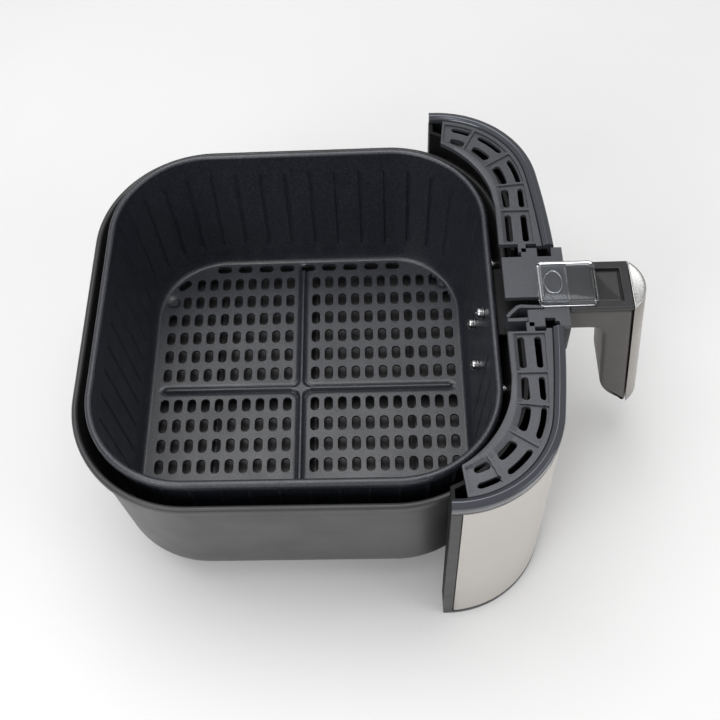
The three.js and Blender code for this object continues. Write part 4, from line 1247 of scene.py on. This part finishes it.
class DRAWER_OT_steel_cover(bpy.types.Operator):
    """Builds the bulging steel cover of the grip and the cap on top of it"""

    bl_idname = "drawer.steel_cover"
    bl_label = "Steel cover"

    def execute(self, context):
        shape = HandleShape()
        bulge = 8.6
        radius = (shape.half ** 2 + bulge ** 2) / (2 * bulge)
        turn = math.asin(shape.half / radius)
        angle = np.linspace(-turn, turn, 33)

        def section(draw):
            """D section: an arc, and a chord back, drawn in by a distance."""
            x = (radius - draw) * np.sin(angle)
            y = -(radius - draw) * np.cos(angle) + radius - bulge
            x = np.clip(x, -shape.half + draw, shape.half - draw)
            back = np.linspace(x[-1], x[0], 9)[1:-1]
            chord = -draw * 0.4
            y = np.concatenate([np.minimum(y, chord), np.full(len(back), chord)])
            return np.stack([np.concatenate([x, back]), y - shape.outer - 0.3], axis=1)

        def stack(levels):
            return solid_rings(np.array([
                lifted(section(draw) - (0.0, shape.out(z)), z) for z, draw in levels]))

        cap_low = shape.top - 2.0
        cover = stack([(shape.foot, 0.9), (shape.foot + 0.4, 0.3), (shape.foot + 1.2, 0.0),
                       (50.0, 0.0), (90.0, 0.0), (cap_low - 0.9, 0.0), (cap_low - 0.3, 0.35)])
        piece("steel_cover", cover, "basket", brushed_cover, ["handle_cover"])
        cap = stack([(cap_low, 0.5), (cap_low + 0.3, 0.1), (cap_low + 0.9, 0.0),
                     (shape.top - 0.5, 0.15), (shape.top - 0.1, 0.6), (shape.top, 1.4),
                     (shape.top - 0.25, 2.3)])
        piece("steel_cap", cap, "basket", satin_cap, ["handle_cap"])
        return {"FINISHED"}


class DRAWER_OT_deck(bpy.types.Operator):
    """Builds the deck on the neck, with its tongues, and the ribs in its open channel"""

    bl_idname = "drawer.deck"
    bl_label = "Neck deck"

    def execute(self, context):
        low, high = box("neck_deck")
        side_x, left_x, right_x, tongue_x, slit_x, tip_x = 27.6, -7.5, 21.3, -16.0, -21.8, 24.0
        tongue_rear, tongue_front, bar_front, tip_rear = -134.4, -143.8, -149.6, -151.8
        lines_x = np.array([-side_x, -tip_x, slit_x, tongue_x, left_x, right_x, side_x])
        lines_y = np.array([low[1], tip_rear, bar_front, tongue_front, tongue_rear, high[1]])
        x, y = between(lines_x)[:, None], between(lines_y)[None]
        solid = (x > left_x) & (x < right_x)
        solid = solid | (y < tongue_rear) & (y > tongue_front) & ((x > right_x) | (x < tongue_x))
        solid = solid | (y < tongue_front) & (y > bar_front) & (x > slit_x) & (x < right_x)
        solid = solid | (y < tip_rear) | (y < bar_front) & (np.abs(x) < tip_x)
        grid = crossed(lines_x, lines_y)
        plate = plate_patch(lifted(grid, high[2]), lifted(grid, low[2] - 1.2), solid)
        deck = piece("deck_plate", [plate], "basket", vent_grey, ["neck_deck"])
        soften(deck, 0.3)

        def wall(path, width, top_z, low_z):
            """A thin upright wall along a path of flat points."""
            path = np.asarray(path, float)
            step = np.gradient(path, axis=0)
            side = np.stack([-step[:, 1], step[:, 0]], axis=1)
            side *= width / 2 / np.linalg.norm(side, axis=1, keepdims=True)
            corners = [(path + side, low_z), (path + side, top_z), (path - side, top_z),
                       (path - side, low_z)]
            return solid_rings(np.stack([lifted(flat, z) for flat, z in corners], axis=1))

        rib_top, rib_low = high[2] - 0.8, 110.0
        ribs = (wall([(-20.0, -122.9), (-18.0, -124.5), (-13.6, -129.0), (-13.0, -131.0),
                      (-13.4, -137.0), (-13.8, -143.4)], 2.0, rib_top, rib_low)
                + wall([(-22.2, -123.0), (-22.2, -128.0), (-22.0, -134.2)], 2.2, rib_top,
                       rib_low))
        piece("channel_ribs", ribs, "basket", vent_grey)
        behind = box("basket")[0][1] - 0.6
        root = soft_box((-23.3, -150.5, 107.3), (23.3, behind, 109.6), 0.5)
        # The plate under the deck takes the black darkened as painted shade.
        piece("neck_root", root, "basket", recess_black)
        return {"FINISHED"}


class DRAWER_OT_button(bpy.types.Operator):
    """Builds the dished release button and the clear guard that slides over it"""

    bl_idname = "drawer.button"
    bl_label = "Button and guard"

    def execute(self, context):
        self.key()
        self.guard()
        return {"FINISHED"}

    @staticmethod
    def key():
        """A square key, dished from its rim to the middle, on a round peg."""
        low, high = box("release_button")
        middle = (low[:2] + high[:2]) / 2
        ticks = np.linspace(-1, 1, 17)
        grid = crossed(ticks, ticks)
        level = np.max(np.abs(grid), axis=-1)
        rim = 0.86
        dish = np.where(level > rim, 0.0, -1.1 * (1 - level / rim))
        ease = np.where(level > 0.99, -0.35, 0.0)
        flat = middle + grid * ((high[:2] - low[:2]) / 2)
        patches = [plate_patch(lifted(flat, high[2] + dish + ease), lifted(flat, high[2] - 3.0),
                               np.ones((16, 16), bool))]
        peg = turned_body([(0.01, low[2]), (2.3, low[2]), (2.4, low[2] + 0.1),
                           (2.4, high[2] - 2.9), (0.01, high[2] - 2.9)], 16)
        patches += moved(peg, Matrix.Translation((*middle, 0)))
        piece("release_key", patches, "button", satin_black, ["release_button"], crease=12.0)

    @staticmethod
    def guard():
        """A thin clear tray, open below, with a rib across it and an oval ring on top."""
        low, high = box("button_guard")
        centre = (low[:2] + high[:2]) / 2
        spread = (high[:2] - low[:2]) / 2
        corner = 2.6
        direction = circle(np.radians(np.linspace(0, 360, 64, endpoint=False)))
        base = np.sign(direction.round(9)) * (spread - corner)

        def ring(draw, z):
            return lifted(centre + base + direction * (corner - draw), z)

        def dome(draw, top_z, bend):
            return [ring(draw + bend * (1 - math.cos(k)), top_z - bend + bend * math.sin(k))
                    for k in np.linspace(0, math.pi / 2, 5)]

        outside = [ring(0.15, low[2]), ring(0.0, low[2] + 0.3)] + dome(0.0, high[2], 0.9)
        outside += [ring(2.0, high[2]), ring(2.2, high[2] - 0.15), ring(2.5, high[2] - 0.6)]
        inside = dome(1.6, high[2] - 1.7, 0.6)[::-1] + [
            ring(1.4, low[2] + 0.2), ring(1.25, low[2]), ring(0.15, low[2])]
        shell = [ring_patch(np.array(outside)), cap_patch(outside[-1]), cap_patch(inside[0]),
                 ring_patch(np.array(inside))]
        shell += soft_box((-spread[0] + 1.8, centre[1] - 0.6, low[2] + 0.6),
                          (spread[0] - 1.8, centre[1] + 0.6, high[2] - 1.75), 0.3, 2)
        turn = np.linspace(0, 2 * math.pi, 49)[:-1, None]
        tube = np.linspace(0, 2 * math.pi, 9)[None, :-1]
        wire = 0.4
        flat = circle(turn) * (np.array([7.6, 5.2]) + wire * np.cos(tube)[..., None])
        level = high[2] - 0.6 + wire * np.sin(tube) + 0 * turn
        oval = lifted(flat + (0.0, centre[1] + spread[1] / 2 - 0.3), level)
        numbers = number_grid(48, 8)
        numbers = closed(np.concatenate([numbers, numbers[:1]], axis=0))
        shell.append(grid_patch(oval, numbers))
        piece("clear_slider", shell, "guard", clear_guard, ["button_guard"])


class DRAWER_OT_spring(bpy.types.Operator):
    """Builds the coil spring under the lever, on a mesh of its own"""

    bl_idname = "drawer.spring"
    bl_label = "Button spring"

    def execute(self, context):
        low, high = box("button_spring")
        wire, turns, end_part, travel = 0.42, 5.0, 0.16, 3.6
        coil = (high[0] - low[0]) / 2 - wire
        middle = (low[:2] + high[:2]) / 2
        t = np.linspace(0, 1, int(turns * 20) + 1)
        way = circle(2 * math.pi * turns * t)
        rise = np.interp(t, [0.0, end_part, 1 - end_part, 1.0],
                         [low[2] + wire, low[2] + 1.9 * wire, high[2] - 1.9 * wire,
                          high[2] - wire])
        tube = np.linspace(0, 2 * math.pi, 8, endpoint=False)
        centre = lifted(middle + coil * way, rise)
        rings = (centre[:, None] + wire * np.cos(tube)[None, :, None] * lifted(way, 0.0)[:, None]
                 + wire * np.sin(tube)[None, :, None] * np.array([0.0, 0.0, 1.0]))
        spring = piece("lever_spring", solid_rings(rings), "basket", polished_steel,
                       ["button_spring"])
        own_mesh(spring)
        return {"FINISHED"}


# ---------------------------------------------------------------- the other CAD nodes

class DRAWER_OT_hardware(bpy.types.Operator):
    """Gives the nodes that keep their CAD shape their finishes"""

    bl_idname = "drawer.hardware"
    bl_label = "Hardware finishes"

    def execute(self, context):
        numbered = {"keeper_rivet": 2, "pan_screw": 4, "neck_screw": 2, "cover_screw": 2}
        steel = ["pan_keeper", "handle_bracket", "latch_pin", "latch_lever"]
        steel += [f"{name}_{k + 1}" for name, count in numbered.items() for k in range(count)]
        # The carrier inside the front takes the black darkened as painted shade.
        for node in steel + ["fascia_carrier"]:
            finish = polished_steel if node in steel else recess_black
            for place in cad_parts[node].material_slots:
                place.material = finish()
        return {"FINISHED"}


# ---------------------------------------------------------------- stage

class DRAWER_OT_stage(bpy.types.Operator):
    """Sets the pale floor, the soft studio light and the camera"""

    bl_idname = "drawer.stage"
    bl_label = "Stage"

    def execute(self, context):
        scene = context.scene
        low = CAD_BOX[0][2]
        span = 6.0
        mesh = bpy.data.meshes.new("floor")
        mesh.from_pydata([(-span, -span, low), (span, -span, low), (span, span, low),
                          (-span, span, low)], [], [(0, 1, 2, 3)])
        finish = Finish("pale_floor", (0.86, 0.86, 0.86), 0.6)
        mottle = finish.spread(finish.noise(6.0))
        finish.fill(finish.shader, Base_Color=finish.blend(mottle, (0.85, 0.85, 0.85),
                                                           (0.87, 0.87, 0.87)))
        mesh.materials.append(finish.material)
        placed("floor", mesh)

        world = bpy.data.worlds.new("studio")
        world.use_nodes = True
        sky = world.node_tree.nodes["Background"].inputs
        sky["Color"].default_value = (1, 1, 1, 1)
        sky["Strength"].default_value = 0.42
        scene.world = world
        scene.view_settings.view_transform = "Standard"
        for name, place, power, wide in (
                ("overhead", (0.15, 0.15, 1.5), 15.0, 1.3),
                ("left_window", (-1.1, 0.7, 1.0), 8.0, 0.8),
                ("front_fill", (-0.5, -1.4, 0.9), 4.0, 0.9)):
            lamp = bpy.data.lights.new(name, "AREA")
            lamp.energy, lamp.size = power, wide
            aim = Matrix(look(-np.array(place))).to_4x4()
            placed(name, lamp, Matrix.Translation(place) @ aim)

        azimuth, elevation, roll = map(math.radians, (-84.265, 55.716, -6.240))
        back = np.array([math.sin(azimuth) * math.cos(elevation),
                         -math.cos(azimuth) * math.cos(elevation), math.sin(elevation)])
        turn = look(-back)
        c, s = math.cos(roll), math.sin(roll)
        turn = turn @ np.array([[c, -s, 0], [s, c, 0], [0, 0, 1]])
        offset = turn @ np.array([8.306, 65.068, 763.664]) * MM
        lens = bpy.data.cameras.new("camera")
        lens.sensor_width = 36.0
        lens.lens = 56.6
        lens.shift_x, lens.shift_y = 0.0556, -0.0833
        lens.clip_start = 0.05
        scene.camera = placed("camera", lens,
                              Matrix.Translation(offset) @ Matrix(turn).to_4x4())
        return {"FINISHED"}


def look(way):
    """Rotation whose -Z points along way, with +Y as near upright as it can be."""
    back = -np.asarray(way, float)
    back /= np.linalg.norm(back)
    right = np.cross((0, 0, 1.0), back)
    if np.linalg.norm(right) < 1e-6:
        right = np.array([1.0, 0, 0])
    right /= np.linalg.norm(right)
    return np.stack([right, np.cross(back, right), back], axis=1)


# ---------------------------------------------------------------- panel and running

STEPS = [DRAWER_OT_stage, DRAWER_OT_basket, DRAWER_OT_pan, DRAWER_OT_basket_bolts,
         DRAWER_OT_front, DRAWER_OT_vents, DRAWER_OT_grip, DRAWER_OT_steel_cover,
         DRAWER_OT_deck, DRAWER_OT_button, DRAWER_OT_spring, DRAWER_OT_hardware]


class DRAWER_PT_panel(bpy.types.Panel):
    """Lists the drawer's pieces in the 3D view's sidebar"""

    bl_label = "Air Fryer Drawer"
    bl_idname = "DRAWER_PT_panel"
    bl_space_type = "VIEW_3D"
    bl_region_type = "UI"
    bl_category = "Drawer"

    def draw(self, context):
        layout = self.layout
        for settings in (context.scene.drawer_sizes, context.scene.drawer_colours):
            column = layout.column(align=True)
            for name in settings.__annotations__:
                column.prop(settings, name)
        column = layout.column(align=True)
        for step in STEPS:
            column.operator(step.bl_idname)


CLASSES = [DRAWER_PG_sizes, DRAWER_PG_colours, *STEPS, DRAWER_PT_panel]


def register():
    for each in CLASSES:
        bpy.utils.register_class(each)
    bpy.types.Scene.drawer_sizes = PointerProperty(type=DRAWER_PG_sizes)
    bpy.types.Scene.drawer_colours = PointerProperty(type=DRAWER_PG_colours)


def unregister():
    del bpy.types.Scene.drawer_colours
    del bpy.types.Scene.drawer_sizes
    for each in reversed(CLASSES):
        bpy.utils.unregister_class(each)


def main():
    register()
    for step in STEPS:
        group, name = step.bl_idname.split(".")
        getattr(getattr(bpy.ops, group), name)()


if __name__ == "__main__":
    main()
